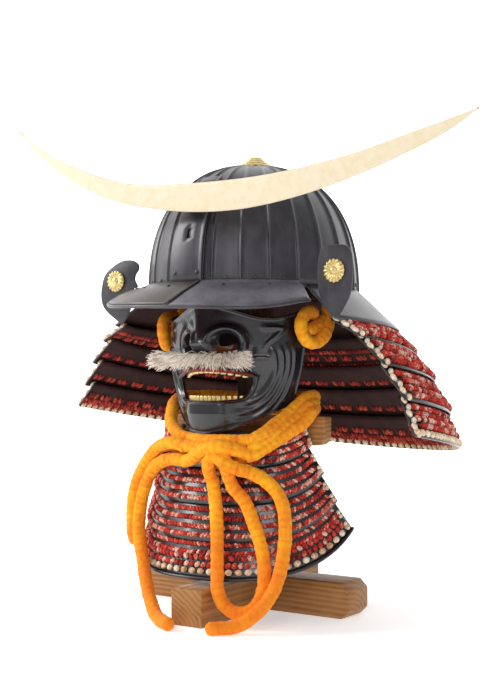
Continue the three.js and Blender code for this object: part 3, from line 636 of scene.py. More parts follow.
def tube(bm, points, radii, sides, tint=None):
    """A closed round tube along the points, in metres, with a radius in metres at each of them."""
    layer = bm.verts.layers.float.get("tint") or bm.verts.layers.float.new("tint")
    ahead = (points[1] - points[0]).normalized()
    aside = ahead.orthogonal().normalized()
    rings = []
    for i, point in enumerate(points):
        onward = points[min(i + 1, len(points) - 1)] - points[max(i - 1, 0)]
        aside = (ahead.rotation_difference(onward) @ aside).normalized()
        ahead = onward.normalized()
        turn = Matrix((aside, ahead.cross(aside).normalized(), ahead)).transposed().to_4x4()
        ring = bmesh.ops.create_circle(bm, segments=sides, radius=radii[i],
                                       matrix=Matrix.Translation(point) @ turn)["verts"]
        for vert in ring:
            vert[layer] = tint[i] if tint else 0.5
        rings.append(ring)
    for low, high in zip(rings, rings[1:]):
        for k in range(sides):
            bm.faces.new((low[k], low[(k + 1) % sides], high[(k + 1) % sides], high[k]))
    bm.faces.new(reversed(rings[0]))
    bm.faces.new(rings[-1])
    return [vert for ring in rings for vert in ring]


def at(point):
    """The matrix that moves a form to this point, in millimetres."""
    return Matrix.Translation(Vector(point) * MM)


def ball(bm, matrix, shape, segments, radius=1):
    """A ball of this radius in millimetres, stretched to the shape and set by the matrix."""
    bmesh.ops.create_uvsphere(bm, u_segments=segments[0], v_segments=segments[1], radius=radius * MM,
                              matrix=matrix @ Matrix.Diagonal((*shape, 1)))


def ease_edges(bm, edges, width):
    bmesh.ops.bevel(bm, geom=edges, offset=width * MM, segments=3, profile=0.5, affect="EDGES", material=-1)


# ---- camera, light and floor ----
def make_camera():
    turn = radians(CAMERA["azimuth"])
    across = Vector((cos(turn), sin(turn), 0))
    away = Vector((-sin(turn), cos(turn), 0))
    data = bpy.data.cameras.new("camera")
    data.lens = CAMERA["lens"]
    data.sensor_width = 36
    data.shift_y = CAMERA["shift"]
    camera = add_object("camera", data)
    camera.location = Vector((0, 0, CAMERA["eye"])) - away * CAMERA["distance"] - across * CAMERA["aside"]
    camera.rotation_euler = (radians(90), 0, turn)
    bpy.context.scene.camera = camera


def area_light(name, place, target, size, watts, color):
    data = bpy.data.lights.new(name, "AREA")
    data.size = size
    data.energy = watts
    data.color = color
    light = add_object(name, data)
    light.location = place
    light.rotation_euler = (Vector(target) - Vector(place)).to_track_quat("-Z", "Y").to_euler()


def stage_plane(name, material, half_size, matrix):
    bm = bmesh.new()
    bmesh.ops.create_grid(bm, x_segments=1, y_segments=1, size=half_size, matrix=matrix)
    plane = add_object(name, as_mesh(name, bm, material))
    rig.stage(plane)


def make_studio():
    world = bpy.data.worlds.new("studio")
    world.use_nodes = True
    air = world.node_tree.nodes["Background"].inputs
    air["Color"].default_value = (1, 1, 1, 1)
    air["Strength"].default_value = STUDIO["air"]
    bpy.context.scene.world = world
    bpy.context.scene.view_settings.view_transform = "Standard"
    area_light("key", (-1.9, -1.1, 1.5), (0, 0, 0.3), 1.1, STUDIO["key"], (1.0, 0.99, 0.97))
    area_light("fill", (0.9, -2.0, 1.2), (0, 0, 0.3), 0.8, STUDIO["fill"], (0.98, 0.98, 1.0))
    turn = Matrix.Rotation(radians(CAMERA["azimuth"]), 4, "Z")
    upright = turn @ Matrix.Translation((0, 4, 0)) @ Matrix.Rotation(radians(90), 4, "X")
    stage_plane("floor", paper_finish("pale_floor", STUDIO["floor_glow"]), 9, Matrix())
    stage_plane("backdrop", paper_finish("pale_backdrop", STUDIO["backdrop_glow"]), 9, upright)


# ---- the tied cord ----
def chenille(bm, line, free_start=False, free_end=False):
    """A cut-pile cord along the line: soft tufts all round, and rounded ends where it ends free."""
    radii, tint = [], []
    for i, point in enumerate(line):
        swell = 0.5 + 0.5 * noise.noise(point * 130)
        taper = 1.0
        for free, steps in ((free_end, len(line) - 1 - i), (free_start, i)):
            if free:
                taper *= min(1.0, (steps * CORD_STEP / CORD_RADIUS) ** 0.5 + 0.12)
        rib = PILE["rib"] * abs(sin(pi * (i * CORD_STEP + 3 * swell) / PILE["rib_pitch"]))
        proud = PILE["depth"] + PILE["swell"] * (swell - 0.5) + rib
        radii.append((CORD_RADIUS + proud) * taper * MM)
        # The tint, higher where the cord swells and on its ribs, is the painted highlight of the silk's finish
        tint.append(mix(swell, rib / PILE["rib"], 0.45))
    verts = tube(bm, line, radii, 24, tint)
    bm.normal_update()
    for vert in verts:
        rough = noise.noise(vert.co * 380) * 0.6 + noise.noise(vert.co * 150) * 0.45
        vert.co += vert.normal * rough * MM
        vert.co.z = max(vert.co.z, PILE["floor"] * MM)


def make_cords():
    routes = dict(ROUTES)
    for side, name in ((-1, "cheek_cord_right"), (1, "cheek_cord_left")):
        routes[name] = [(side * x, y, z) for x, y, z in CHEEK_ROUTE]
    for name, points in routes.items():
        line, length = smooth_route(points, CORD_STEP)
        free = name in FREE_ENDS
        cheek = name.startswith("cheek")
        bm = bmesh.new()
        chenille(bm, line, free_start=cheek, free_end=free or cheek)
        piece = finish_piece(f"silk_{name}", bm, SILK, "cord", [name])
        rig.cord(piece, exit=line[0], length=length, diameter=2 * CORD_RADIUS * MM,
                far_end="bare" if free else "object", stiffness="limp",
                lay="hanging" if name.startswith(("cord_loop", "cord_tail")) else "taut",
                path=line)


def make_bound_strands():
    """Short strands held tight by the others: one across each cheek knot, one in the band at the jaw."""
    cheek = [(103, -8, 333), (101, -20, 326), (99, -32, 320), (97, -45, 316)]
    strands = {
        "cheek_right": [(-x, y, z) for x, y, z in cheek],
        "cheek_left": cheek,
        "jaw": [(60, -106, 189), (67, -103.5, 191), (73.5, -92.5, 197.5), (79, -78, 206), (85, -63, 214.5),
                (90.5, -48.5, 223.8), (94, -35, 233.8), (92.5, -21.5, 237.2), (84, -6.5, 236.5)],
    }
    for name, points in strands.items():
        bm = bmesh.new()
        chenille(bm, smooth_route(points, CORD_STEP)[0], free_start=True, free_end=True)
        finish_piece(f"silk_bound_{name}", bm, SILK, "cord")


# ---- helmet bowl, its front plate and visor ----
def bowl_point(turn, climb, offset):
    level = max(cos(radians(climb)), 0) ** (2 / BOWL["fullness"])
    rise = sin(radians(climb)) ** (2 / BOWL["fullness"])
    return (
        (BOWL["half_width"] + offset) * level * sin(radians(turn)),
        -(BOWL["half_length"] + offset) * level * cos(radians(turn)),
        BOWL["rim_z"] + (BOWL["height"] + offset) * rise,
    )


def make_bowl():
    marks = (-0.5, -0.3, -0.15, -0.08, -0.055, -0.035, -0.018, 0, 0.018, 0.035, 0.055, 0.08, 0.15, 0.3)
    columns = [(plate + 0.5 + mark) / RIBS for plate in range(RIBS) for mark in marks] + [1.0]
    crown = 85

    def across_rib(u, v):
        """Distance in millimetres from the nearest rib, and the share across the plate."""
        share = u * RIBS - 0.5 - round(u * RIBS - 0.5)
        level = max(cos(radians(crown * v)), 0.02) ** (2 / BOWL["fullness"])
        return share * 2 * pi * BOWL["half_width"] / RIBS * level, share

    def place(u, v):
        away, share = across_rib(u, v)
        ridge = RIB["height"] * exp(-abs(away / RIB["half_width"]) ** 1.6) * (1 - 0.5 * v**4)
        lap = RIB["lap"] * (0.5 - (share % 1.0))
        return bowl_point(360 * u - 180 / RIBS, crown * v, ridge + lap)

    def worn(u, v):
        away, _ = across_rib(u, v)
        return 0.75 * exp(-(away / 0.9) ** 2)

    sheet("bowl_plates", columns, 34, place, BOWL_MIDDLE, IRON, "iron", wall=BOWL["wall"],
          inside=BROWN_LACQUER, replaced=["bowl"], worn=worn)


def front_plate_point(x, climb, offset):
    turn = degrees(asin(x / BOWL["half_width"]))
    return bowl_point(turn, climb, FRONT_PLATE["lift"] + offset)


def make_front_plate():
    half = FRONT_PLATE["half_width"]
    slot_low, slot_high, slot_half = 0.315, 0.395, 0.07
    rows = [0, 0.06, 0.14, 0.22, 0.28, slot_low, slot_high, 0.45, 0.55, 0.65, 0.75, 0.85, 0.93, 1]
    columns = [0, 0.02, 0.1, 0.25, 0.5 - slot_half, 0.5 + slot_half, 0.75, 0.88, 0.93, 0.97, 1]

    def place(u, v):
        lip = 0.9 * smoothstep(u, 0.9, 1.0) - 0.5 * bell(u, 0.88, 0.05)
        climb = mix(FRONT_PLATE["low"], FRONT_PLATE["high"], v)
        return front_plate_point(mix(-half, half, u), climb, FRONT_PLATE["thick"] + lip)

    def slot(u, v):
        return abs(u - 0.5) < slot_half and slot_low < v < slot_high

    def socket(u, v):
        return front_plate_point(mix(-4, 4, u), mix(17, 24.5, v), 0.3)

    # A thin black strip painted as the shadow along the plate's raised right edge
    def edge_shade(u, v):
        return front_plate_point(half + mix(0.1, 1.7, u), mix(1, 53, v), 0.4)

    sheet("front_plate_iron", columns, rows, place, BOWL_MIDDLE, IRON, "iron", wall=FRONT_PLATE["thick"],
          replaced=["front_plate"], worn=lambda u, v: 0.9 * smoothstep(u, 0.93, 1.0), gap=slot)
    sheet("front_plate_socket", 2, 2, socket, BOWL_MIDDLE, DEEP_BLACK, "iron", wall=0.4)
    sheet("front_plate_shade", 2, 24, edge_shade, BOWL_MIDDLE, DEEP_BLACK, "iron", wall=0.4)


def visor_point(side, out, lift):
    turn = radians(VISOR["root_angle"] * side)
    sweep = radians(VISOR["sweep"] * side)
    root_x = (BOWL["half_width"] + 2.2) * sin(turn)
    root_y = -(BOWL["half_length"] + 2.2) * cos(turn)
    edge_x = VISOR["half_width"] * power(sin(sweep), 2 / VISOR["squareness"])
    edge_y = VISOR["back_y"] - VISOR["reach"] * cos(sweep) ** (2 / VISOR["squareness"])
    across = edge_x / VISOR["half_width"]
    edge_z = VISOR["edge_z"] - VISOR["lean"] * across + VISOR["lift"] * abs(across) ** 8
    z = mix(VISOR["root_z"], edge_z, out) + VISOR["bulge"] * sin(pi * out)
    return mix(root_x, edge_x, out), mix(root_y, edge_y, out), z + lift


def make_visor():
    centre = (0, -120, 300)

    def root_flare(out):
        return 2.0 * smoothstep(out, 0.10, 0.0)

    def shell(u, v):
        return visor_point(2 * u - 1, v, root_flare(v))

    # The overlay on the wearer's right ends on a straight seam
    def overlay(u, v):
        out = mix(0.05, 0.985, v)
        lip = 0.7 * smoothstep(u, 0.97, 1.0)
        return visor_point(mix(-0.99, VISOR["seam"] * (1 - out), u), out, 1.5 + lip + root_flare(out))

    # A thin black strip painted as the shadow beside the overlay's raised seam edge
    def seam_shade(u, v):
        out = mix(0.05, 0.985, v)
        return visor_point(VISOR["seam"] * (1 - out) + mix(0.001, 0.013, u), out, 0.5 + root_flare(out))

    # The visor's shell takes the iron painted lighter, as painted light
    sheet("visor_iron", 96, [0, 0.04, 0.08, 0.14, 0.25, 0.4, 0.55, 0.7, 0.85, 1], shell, centre, LIT_VISOR_IRON,
          "iron", wall=VISOR["thick"], inside=RED_LACQUER, replaced=["visor"],
          worn=lambda u, v: 0.55 * smoothstep(v, 0.8, 1.0))
    sheet("visor_overlay", [*span(0, 0.94, 46), 0.97, 0.985, 1], 12, overlay, centre, IRON_TAN, "iron",
          wall=1.2, worn=lambda u, v: 0.8 * smoothstep(u, 0.96, 1.0))
    sheet("visor_seam_shade", 2, 12, seam_shade, centre, DEEP_BLACK, "iron", wall=0.3)

    line = [Vector(visor_point(2 * i / 90 - 1, 1.0, -0.8)) * MM for i in range(91)]
    bm = bmesh.new()
    wear = bm.verts.layers.float.new("worn")
    for vert in tube(bm, line, [1.9 * MM] * len(line), 10):
        vert[wear] = 0.45
    finish_piece("visor_rolled_rim", bm, IRON, "iron")


def rivet(bm, place, out, radius):
    """A low round head standing on the place, in millimetres."""
    turn = Vector((0, 0, 1)).rotation_difference(Vector(out)).to_matrix().to_4x4()
    ball(bm, at(place) @ turn, (1, 1, 0.45), (12, 8), radius)


def make_rivets():
    bm = bmesh.new()
    bm.verts.layers.float.new("worn")
    for turn in (-52.5, -37.5, -22.5, 22.5, 37.5, 52.5, 82.5, 112.5, 142.5, 172.5, 202.5, 232.5, 262.5):
        out = Vector(bowl_point(turn, 2.2, 1)) - Vector(bowl_point(turn, 2.2, 0))
        rivet(bm, bowl_point(turn, 2.2, 0.4), out, 2.4)
    for x in (-14, 14):
        rivet(bm, front_plate_point(x, 4.0, 2.4), (0, -1, 0.1), 2.2)
    for side, out in ((-0.75, 0.3), (-0.42, 0.3), (-0.1, 0.3), (0.35, 0.2), (0.72, 0.2)):
        rivet(bm, visor_point(side, out, 1.8 if side < 0 else 0.2), (0, -0.2, 1), 2.0)
    finish_piece("iron_rivets", bm, IRON, "iron")


def make_crown_fitting():
    seat = BOWL["rim_z"] + BOWL["height"] + 1.4
    profile = [(21.5, -2.5), (21.8, -1.2), (20, 0.4), (16.5, 1.6), (14.8, 2.0), (15.2, 3.2), (13.5, 4.6),
               (11.2, 5.0), (11.6, 6.2), (10, 7.6), (8, 8.0), (8.2, 9.4), (6.6, 10.6), (4.0, 10.8),
               (0.01, 10.2)]

    def place(u, v):
        step = v * (len(profile) - 1)
        low = min(int(step), len(profile) - 2)
        radius, height = (mix(a, b, step - low) for a, b in zip(profile[low], profile[low + 1]))
        petals = 1 + 0.05 * abs(sin(8 * 2 * pi * u)) * smoothstep(radius, 12, 17)
        twist = 1 + 0.05 * abs(cos(6 * 2 * pi * u)) * smoothstep(radius, 5, 8)
        radius *= petals * twist
        return radius * sin(2 * pi * u), -radius * cos(2 * pi * u), seat + height

    sheet("crown_flower", 96, 42, place, (0, 0, seat), GOLD, "gold", wall=1.2, replaced=["crown_fitting"])


# ---- crest ----
CREST_LOWER = [(-248, 559), (-200, 515), (-118, 470), (-30, 448.5), (55, 441.5), (134, 448), (218, 466),
               (300, 493), (340, 515)]
CREST_UPPER = [(-248, 559), (-189, 521), (-100, 487), (-30, 477), (60, 474), (130, 477), (200, 485.5),
               (275, 501), (340, 515)]
CREST_Y = -134


def spline(points, share):
    """A point on the smooth plane curve through these points."""
    step = min(max(share, 0), 1) * (len(points) - 1)
    i = min(int(step), len(points) - 2)
    t = step - i
    a, b, c, d = (Vector(points[min(max(k, 0), len(points) - 1)]) for k in (i - 1, i, i + 1, i + 2))
    leave, arrive = (c - a) / 2, (d - b) / 2
    return curve_point(b, c, leave, arrive, t)


def make_crest():
    def place(u, v):
        u = mix(0.004, 0.996, u)
        edge = spline(CREST_LOWER, u).lerp(spline(CREST_UPPER, u), v)
        return edge.x, CREST_Y - 2 + 0.9 * smoothstep(v, 0.05, 0.0) + 0.9 * smoothstep(v, 0.95, 1.0), edge.y

    sheet("crest_blade", 120, [0, 0.02, 0.045, 0.1, 0.3, 0.5, 0.7, 0.9, 0.955, 0.98, 1], place, (50, 0, 480),
          CREST_GILT, "crest_gilt", wall=1.6, replaced=["crest"],
          worn=lambda u, v: smoothstep(v, 0.06, 0.02))


# ---- turned-back plates and rosettes ----
def plate_outline(bm, points, front_y, thick, bevel):
    """A flat plate across the front, from its outline in X and Z."""
    verts = [bm.verts.new((x * MM, (front_y + thick) * MM, z * MM)) for x, z in points]
    face = bm.faces.new(verts)
    grown = bmesh.ops.extrude_face_region(bm, geom=[face])["geom"]
    moved = [e for e in grown if isinstance(e, bmesh.types.BMVert)]
    bmesh.ops.translate(bm, verts=moved, vec=(0, -thick * MM, 0))
    bmesh.ops.recalc_face_normals(bm, faces=bm.faces)
    rims = [e for e in bm.edges if len(e.link_faces) == 2 and e.calc_face_angle() > 1.0]
    ease_edges(bm, rims, bevel)


TURNBACK = {"front_y": -79.4, "thick": 2.4}
TURNBACK_OUTLINE = {
    "left": [(155.8, 327.2), (164.2, 339), (171.3, 351.2), (173.7, 364.6), (174.3, 385.3), (172.5, 396.8),
             (166.6, 403.4), (154.6, 404.7), (143.6, 404.3), (136.8, 401.1), (133.8, 392.8), (132, 381.3),
             (132, 368.6), (135.1, 352.6), (145.5, 334.3)],
    "right": [(-137, 328), (-145.6, 333.7), (-158.8, 343), (-166.7, 352.2), (-169.1, 364.3), (-167.5, 376.2),
              (-162.8, 388), (-149.1, 398), (-133.6, 403.7), (-118.3, 402.3), (-111.5, 397.5),
              (-111.7, 391.5), (-116, 386.5), (-117.3, 379.9), (-113, 372), (-119.6, 369.6), (-121, 358),
              (-126, 342)],
}
ROSETTE = {"left": (153.5, 377.5), "right": (-144.5, 379.5), "radius": 13, "petals": 16}


def make_turnbacks():
    for name in ("right", "left"):
        outline = [(x, 0, z) for x, z in TURNBACK_OUTLINE[name]]
        rim = smooth_route([*outline, outline[0]], 3)[0][:-1]
        bm = bmesh.new()
        plate_outline(bm, [(point.x / MM, point.z / MM) for point in rim], TURNBACK["front_y"],
                      TURNBACK["thick"], 0.6)
        finish_piece(f"turnback_plate_{name}", bm, IRON, "iron", [f"turnback_{name}"], sharp=40)

        bm = bmesh.new()
        x, z = ROSETTE[name]
        middle = Vector((x, TURNBACK["front_y"] - 0.6, z))
        size = ROSETTE["radius"]
        for k in range(ROSETTE["petals"]):
            turn = Matrix.Rotation(2 * pi * k / ROSETTE["petals"], 4, "Y")
            ball(bm, at(middle) @ turn @ at((0, -1.4, 0.6 * size)), (2.1, 1.5, 0.4 * size), (10, 8))
        for radius, depth, out in ((0.93 * size, 1.4, 0.7), (0.34 * size, 2.3, 1.9)):
            ball(bm, at(middle + Vector((0, -out, 0))), (radius, depth, radius), (28, 12))
        finish_piece(f"rosette_flower_{name}", bm, GOLD, "gold", [f"rosette_{name}"])


# ---- lacing ----
class Lacing:
    """Braid worked on a sheet: beads of silk set along lines of it, in one mesh."""

    def __init__(self, place, centre, seed, inward=False):
        self.place = place
        self.centre = Vector(centre)
        self.inward = inward
        self.random = random.Random(seed)
        self.bm = bmesh.new()
        self.bm.verts.layers.float.new("tint")
        self.eggs = {}

    def frame(self, u, v):
        step = 0.002
        here = Vector(self.place(u, v))
        along = (Vector(self.place(u + step, v)) - Vector(self.place(u - step, v))).normalized()
        down = (Vector(self.place(u, v + step)) - Vector(self.place(u, v - step))).normalized()
        out = along.cross(down).normalized()
        if out.dot(here - self.centre) < 0:
            out = -out
        if self.inward:
            out = -out
        return here, along, out.cross(along).normalized(), out

    def egg(self, segments):
        """A ball of radius one with this many segments, kept as a mesh and its corner table."""
        if segments not in self.eggs:
            bm = bmesh.new()
            bm.verts.layers.float.new("tint")
            bmesh.ops.create_uvsphere(bm, u_segments=segments[0], v_segments=segments[1], radius=1)
            corners = numpy.array([vert.co for vert in bm.verts])
            self.eggs[segments] = as_mesh("egg", bm), corners
        return self.eggs[segments]

    def bead(self, u, v, size, proud, slant=0.0, tints=(0, 1), segments=(7, 5)):
        """An egg of silk, size in millimetres along, down and out, turned by slant in degrees."""
        here, along, down, out = self.frame(u, v)
        turn = Matrix.Rotation(radians(slant), 3, out)
        axes = numpy.array((turn @ along * size[0] / 2, turn @ down * size[1] / 2, out * size[2] / 2))
        mesh, corners = self.egg(segments)
        mesh.vertices.foreach_set("co", ((corners @ axes + numpy.array(here + out * proud)) * MM).ravel())
        tint = self.random.uniform(*tints)
        mesh.attributes["tint"].data.foreach_set("value", [tint] * len(corners))
        self.bm.from_mesh(mesh, vertex_normals=False)

    def length(self, v, low=0.0, high=1.0):
        marks = [Vector(self.place(u, v)) for u in span(low, high, 40)]
        return sum((q - p).length for p, q in zip(marks, marks[1:]))

    def herringbone(self, v, pitch, size, proud, drop, low, high):
        """Two lines of slanted stitches that make one braid."""
        count = round(self.length(v, low, high) / pitch)
        for i in range(count):
            for line, slant in ((-1, 38), (1, -38)):
                u = mix(low, high, (i + 0.5 + 0.25 * line) / count)
                slant += self.random.uniform(-8, 8)
                self.bead(u, v + line * drop, size, proud + self.random.uniform(-0.3, 0.3), slant)

    def string(self, count, v, **bead):
        """A single line of beads."""
        for i in range(count):
            self.bead((i + 0.5) / count, v, **bead)

    def finish(self, name, material, slot="lacing"):
        for mesh, _ in self.eggs.values():
            bpy.data.meshes.remove(mesh)
        finish_piece(name, self.bm, material, slot)


# Braids and beads: pitch, size and proud in millimetres; drop, low and high as shares of the lame
NECK_BRAID = {"pitch": 5.6, "size": (4.8, 8.6, 7.0), "proud": 2.3, "drop": 0.085,
              "low": 0.016, "high": 0.984}
THROAT_BRAID = {"pitch": 4.1, "size": (3.8, 7.6, 4.6), "proud": 1.4, "drop": 0.10,
                "low": 0.025, "high": 0.975}
THROAT_HEM_BRAID = {**THROAT_BRAID, "pitch": 7.0, "size": (6.0, 8.0, 5.0), "drop": 0.085}
NECK_EDGE = {"size": (6.0, 9.5, 5.6), "proud": 1.6, "tints": (0.55, 1.0), "segments": (9, 7)}
NECK_KNOT = {"size": (8.2, 8.0, 6.0), "proud": 1.6, "tints": (0.45, 1.0), "segments": (9, 7)}
INNER_STITCH = {"size": (4.4, 9.5, 4.2), "proud": 0.4}
INNER_ROW = {"size": (4.6, 8.6, 4.4), "proud": 0.4, "slant": 32}
INNER_KNOT = {"size": (9.0, 8.0, 4.6), "proud": 0.4, "tints": (0.1, 0.7), "segments": (10, 7)}
THROAT_EDGE = {"size": (6.0, 5.0, 4.4), "proud": 1.6, "tints": (0.3, 1.0), "segments": (9, 7)}
THROAT_KNOT = {"size": (8.6, 7.2, 5.4), "proud": 1.4, "tints": (0.1, 1.0), "segments": (9, 7)}


# ---- neck guard ----
def neck_point(row, radius, turn, lift):
    x = radius * sin(radians(turn))
    y = -(radius + 5) * cos(radians(turn))
    return x, y, row["z"] - row["slope"] * y - row["lean"] * x / row["radius"] + lift


def lame_place(index, inset):
    """The place function of one neck lame, from its tucked top edge at v 0 to its lower edge at v 1."""
    above, row = NECK_ROWS[index - 1], NECK_ROWS[index]
    lift = 1 if index == 1 else NECK_TUCK["height"]

    def place(u, v):
        top_turn = mix(above["corner"] + 1, 359 - above["corner"], u)
        turn = mix(row["corner"], 360 - row["corner"], u)
        top = Vector(neck_point(above, above["radius"] - NECK_TUCK["radius"] - inset, top_turn, lift))
        bottom = Vector(neck_point(row, row["radius"] - inset, turn, 0))
        return top.lerp(bottom, v)

    return place


def make_neck_guard():
    flange = NECK_ROWS[0]

    def flange_place(u, v):
        turn = mix(flange["corner"], 360 - flange["corner"], u)
        inner = Vector(((BOWL["half_width"] + 2.0) * sin(radians(turn)),
                        -(BOWL["half_length"] + 2.0) * cos(radians(turn)), BOWL["rim_z"] + 2))
        return inner.lerp(Vector(neck_point(flange, flange["radius"], turn, 0)), v)

    sheet("neck_flange_iron", 150, 8, flange_place, (0, 0, 250), IRON, "iron", wall=2.2,
          inside=BROWN_LACQUER, replaced=["neck_flange"],
          worn=lambda u, v: 0.8 * smoothstep(v, 0.93, 1.0) + 0.6 * smoothstep(abs(u - 0.5), 0.495, 0.5))

    centre = (0, 0, 150)
    for index in range(1, len(NECK_ROWS)):
        place = lame_place(index, 1.2)
        last = index == len(NECK_ROWS) - 1
        sheet(f"neck_plate_{index}", 160, 6, place, centre, LAME, "lame", wall=1.8, inside=BROWN_LACQUER,
              replaced=[f"neck_lame_{index}"])

        outside = Lacing(place, centre, seed=index)
        for v in (0.40, 0.77) if not last else (0.34, 0.64):
            outside.herringbone(v, **NECK_BRAID)
        outside.finish(f"neck_lacing_{index}", RED_BRAID)

        edging = Lacing(place, centre, seed=10 + index)
        for end, inward in ((0.0, 0.004), (1.0, -0.004)):
            for i, v in enumerate(span(0.12, 0.95, 5)):
                edging.bead(end + (1 + i % 2) * inward, v, slant=28 - 56 * (i % 2), **NECK_EDGE)
        if last:
            edging.string(round(edging.length(0.95) / 9.5), 0.90, **NECK_KNOT)
        edging.finish(f"neck_edging_{index}", CREAM_BRAID, "braid")

        finish_inside(Lacing(lame_place(index, 3.2), centre, seed=20 + index, inward=True), index, last)


def finish_inside(stitches, index, last):
    """Red stitches, painted darker as shade, that show on the inner face, in groups, and the hem's knots on the lowest
    lame.
    """
    groups = round(stitches.length(0.5) / 25)
    for i in range(groups):
        for k in (-1.5, -0.5, 0.5, 1.5):
            u = (i + 0.5 + 0.17 * k) / groups
            stitches.bead(u, 0.52 if last else 0.62, slant=14 * (-1) ** round(k + 0.5), **INNER_STITCH)
    full_rows = {1: (0.42, 0.84), 4: (0.70, 0.81)}
    for v in full_rows.get(index, ()):
        stitches.string(round(stitches.length(v) / 6), v, **INNER_ROW)
    # The inner stitches take the red braid painted dark as painted shade
    stitches.finish(f"neck_stitches_{index}", SHADED_BRAID)
    if last:
        hem = Lacing(stitches.place, stitches.centre, seed=31, inward=True)
        hem.string(round(hem.length(0.95) / 12.5), 0.93, **INNER_KNOT)
        hem.finish("neck_hem_knots", CREAM_BRAID, "braid")


# ---- throat guard ----
def throat_point(side, down, inset):
    s, c = sin(radians(side)), cos(radians(side))
    half_width = mix(THROAT_TOP["half_width"], THROAT_HEM["half_width"], down) - inset
    rear_y = mix(THROAT_TOP["rear_y"], THROAT_HEM["rear_y"], max(down, 0) ** 1.6)
    front_y = mix(THROAT_TOP["front_y"], THROAT_HEM["front_y"], down) + inset
    front_z = mix(THROAT_TOP["front_z"], THROAT_HEM["front_z"], down)
    rear_z = mix(THROAT_TOP["rear_z"], THROAT_HEM["rear_z"], down)
    return half_width * s, mix(rear_y, front_y, c), mix(front_z, rear_z, max(1 - c, 0) ** 1.7)


def make_throat_guard():
    centre = (0, 60, 150)
    for index in range(THROAT_LAMES):
        tuck = THROAT_TUCK if index else {"down": 0, "inward": 0}
        low, high = index / THROAT_LAMES - tuck["down"], (index + 1) / THROAT_LAMES
        last = index == THROAT_LAMES - 1

        def place(u, v, low=low, high=high, tuck=tuck):
            return throat_point(mix(-90, 90, u), mix(low, high, v), 1.2 + mix(tuck["inward"], 0, v))

        sheet(f"throat_plate_{index + 1}", 110, 6, place, centre, LAME, "lame", wall=1.8,
              inside=BROWN_LACQUER, replaced=[f"throat_lame_{index + 1}"])
        lacing = Lacing(place, centre, seed=40 + index)
        for v in (0.36, 0.77) if not last else (0.30,):
            lacing.herringbone(v, **THROAT_BRAID)
        if last:
            lacing.herringbone(0.60, **THROAT_HEM_BRAID)
        lacing.finish(f"throat_lacing_{index + 1}", RED_BRAID)

        edging = Lacing(place, centre, seed=50 + index)
        for u in (0.014, 0.986):
            for v in (0.40, 0.52, 0.76, 0.88):
                edging.bead(u, v, **THROAT_EDGE)
        if last:
            edging.string(round(edging.length(0.84) / 11), 0.84, **THROAT_KNOT)
        edging.finish(f"throat_edging_{index + 1}", CREAM_BRAID, "braid")

    bm = bmesh.new()
    hem = [Vector(throat_point(side, 1.0, 0.3)) * MM for side in span(-90, 90, 110)]
    bm.verts.layers.float.new("worn")
    tube(bm, hem, [2.0 * MM] * len(hem), 10)
    finish_piece("throat_hem_roll", bm, DEEP_BLACK, "lame")


# ---- half mask ----
def mask_row(z):
    high = next((i for i in range(1, len(MASK_ROWS)) if MASK_ROWS[i]["z"] >= z), len(MASK_ROWS) - 1)
    low, top = MASK_ROWS[high - 1], MASK_ROWS[high]
    share = min(max((z - low["z"]) / (top["z"] - low["z"]), 0), 1)
    return {key: mix(low[key], top[key], share) for key in ("half_width", "front", "muzzle")}


def side_at(x, z):
    """How far round the mask this x lies at this height, in degrees from its front."""
    return degrees(asin(x / mask_row(z)["half_width"]))


def nose_reach(x, z):
    if z < NOSE["tip_z"]:
        up = smoothstep(z, NOSE["base_z"], NOSE["tip_z"])
    else:
        up = mix(1, 0.45, (z - NOSE["tip_z"]) / (MASK["brow_z"] - NOSE["tip_z"]))
    return NOSE["reach"] * up * exp(-(x / NOSE["half_width"]) ** 2)


def mask_point(side, z, inset):
    s, c = sin(radians(side)), cos(radians(side))
    row = mask_row(z)
    x = row["half_width"] * s
    muzzle = row["muzzle"] * exp(-(x / 36) ** 4)
    y = MASK["rear_y"] - row["front"] * c - muzzle - nose_reach(x, z)
    return x - inset * s, y + inset * c, z


def jaw_z(side):
    x = mask_point(side, 225, 0)[0]
    return MASK["bottom_z"] + MASK["jaw_rise"] * (x / MASK["jaw_half"]) ** 2


def brow_z(side):
    away = abs(side) / 90
    dip = mix(MASK["brow_z"], MASK["cheek_z"], smoothstep(away, 0, 0.55))
    return dip + (MASK["end_z"] - MASK["cheek_z"]) * smoothstep(away, 0.6, 1)


def mouth_outline(u):
    """A point (x, z) of the mouth's edge: u 0 is the middle of the lower lip, 0.25 the left corner."""
    turned = u if u <= 0.5 else 1 - u
    t = turned / 0.25
    if turned > 0.25:
        x = LIP_BEND[-1][0] * (1 - (turned - 0.25) / 0.25)
        z = mouth_arch(x)
    elif t < LIP_FLAT:
        x, z = LIP_BEND[0][0] * t / LIP_FLAT, LIP_BEND[0][1]
    else:
        t = (t - LIP_FLAT) / (1 - LIP_FLAT)
        weights = ((1 - t) ** 3, 3 * t * (1 - t) ** 2, 3 * t**2 * (1 - t), t**3)
        x, z = (sum(w * c for w, c in zip(weights, values)) for values in zip(*LIP_BEND))
    return (x if u <= 0.5 else -x), z


def mouth_arch(x):
    """The height of the upper lip's edge."""
    corner_x, corner_z = LIP_BEND[-1]
    return corner_z + LIP_ARCH * (1 - (x / corner_x) ** 2)


def border_outline(u):
    """A point of the mask's border, as shares across and up, that goes with the mouth's u."""
    turned = u if u <= 0.5 else 1 - u
    if turned <= 0.15:
        across, up = turned / 0.15, 0.0
    elif turned <= 0.35:
        across, up = 1.0, (turned - 0.15) / 0.20
    else:
        across, up = 1 - (turned - 0.35) / 0.15, 1.0
    return (across if u <= 0.5 else -across), up


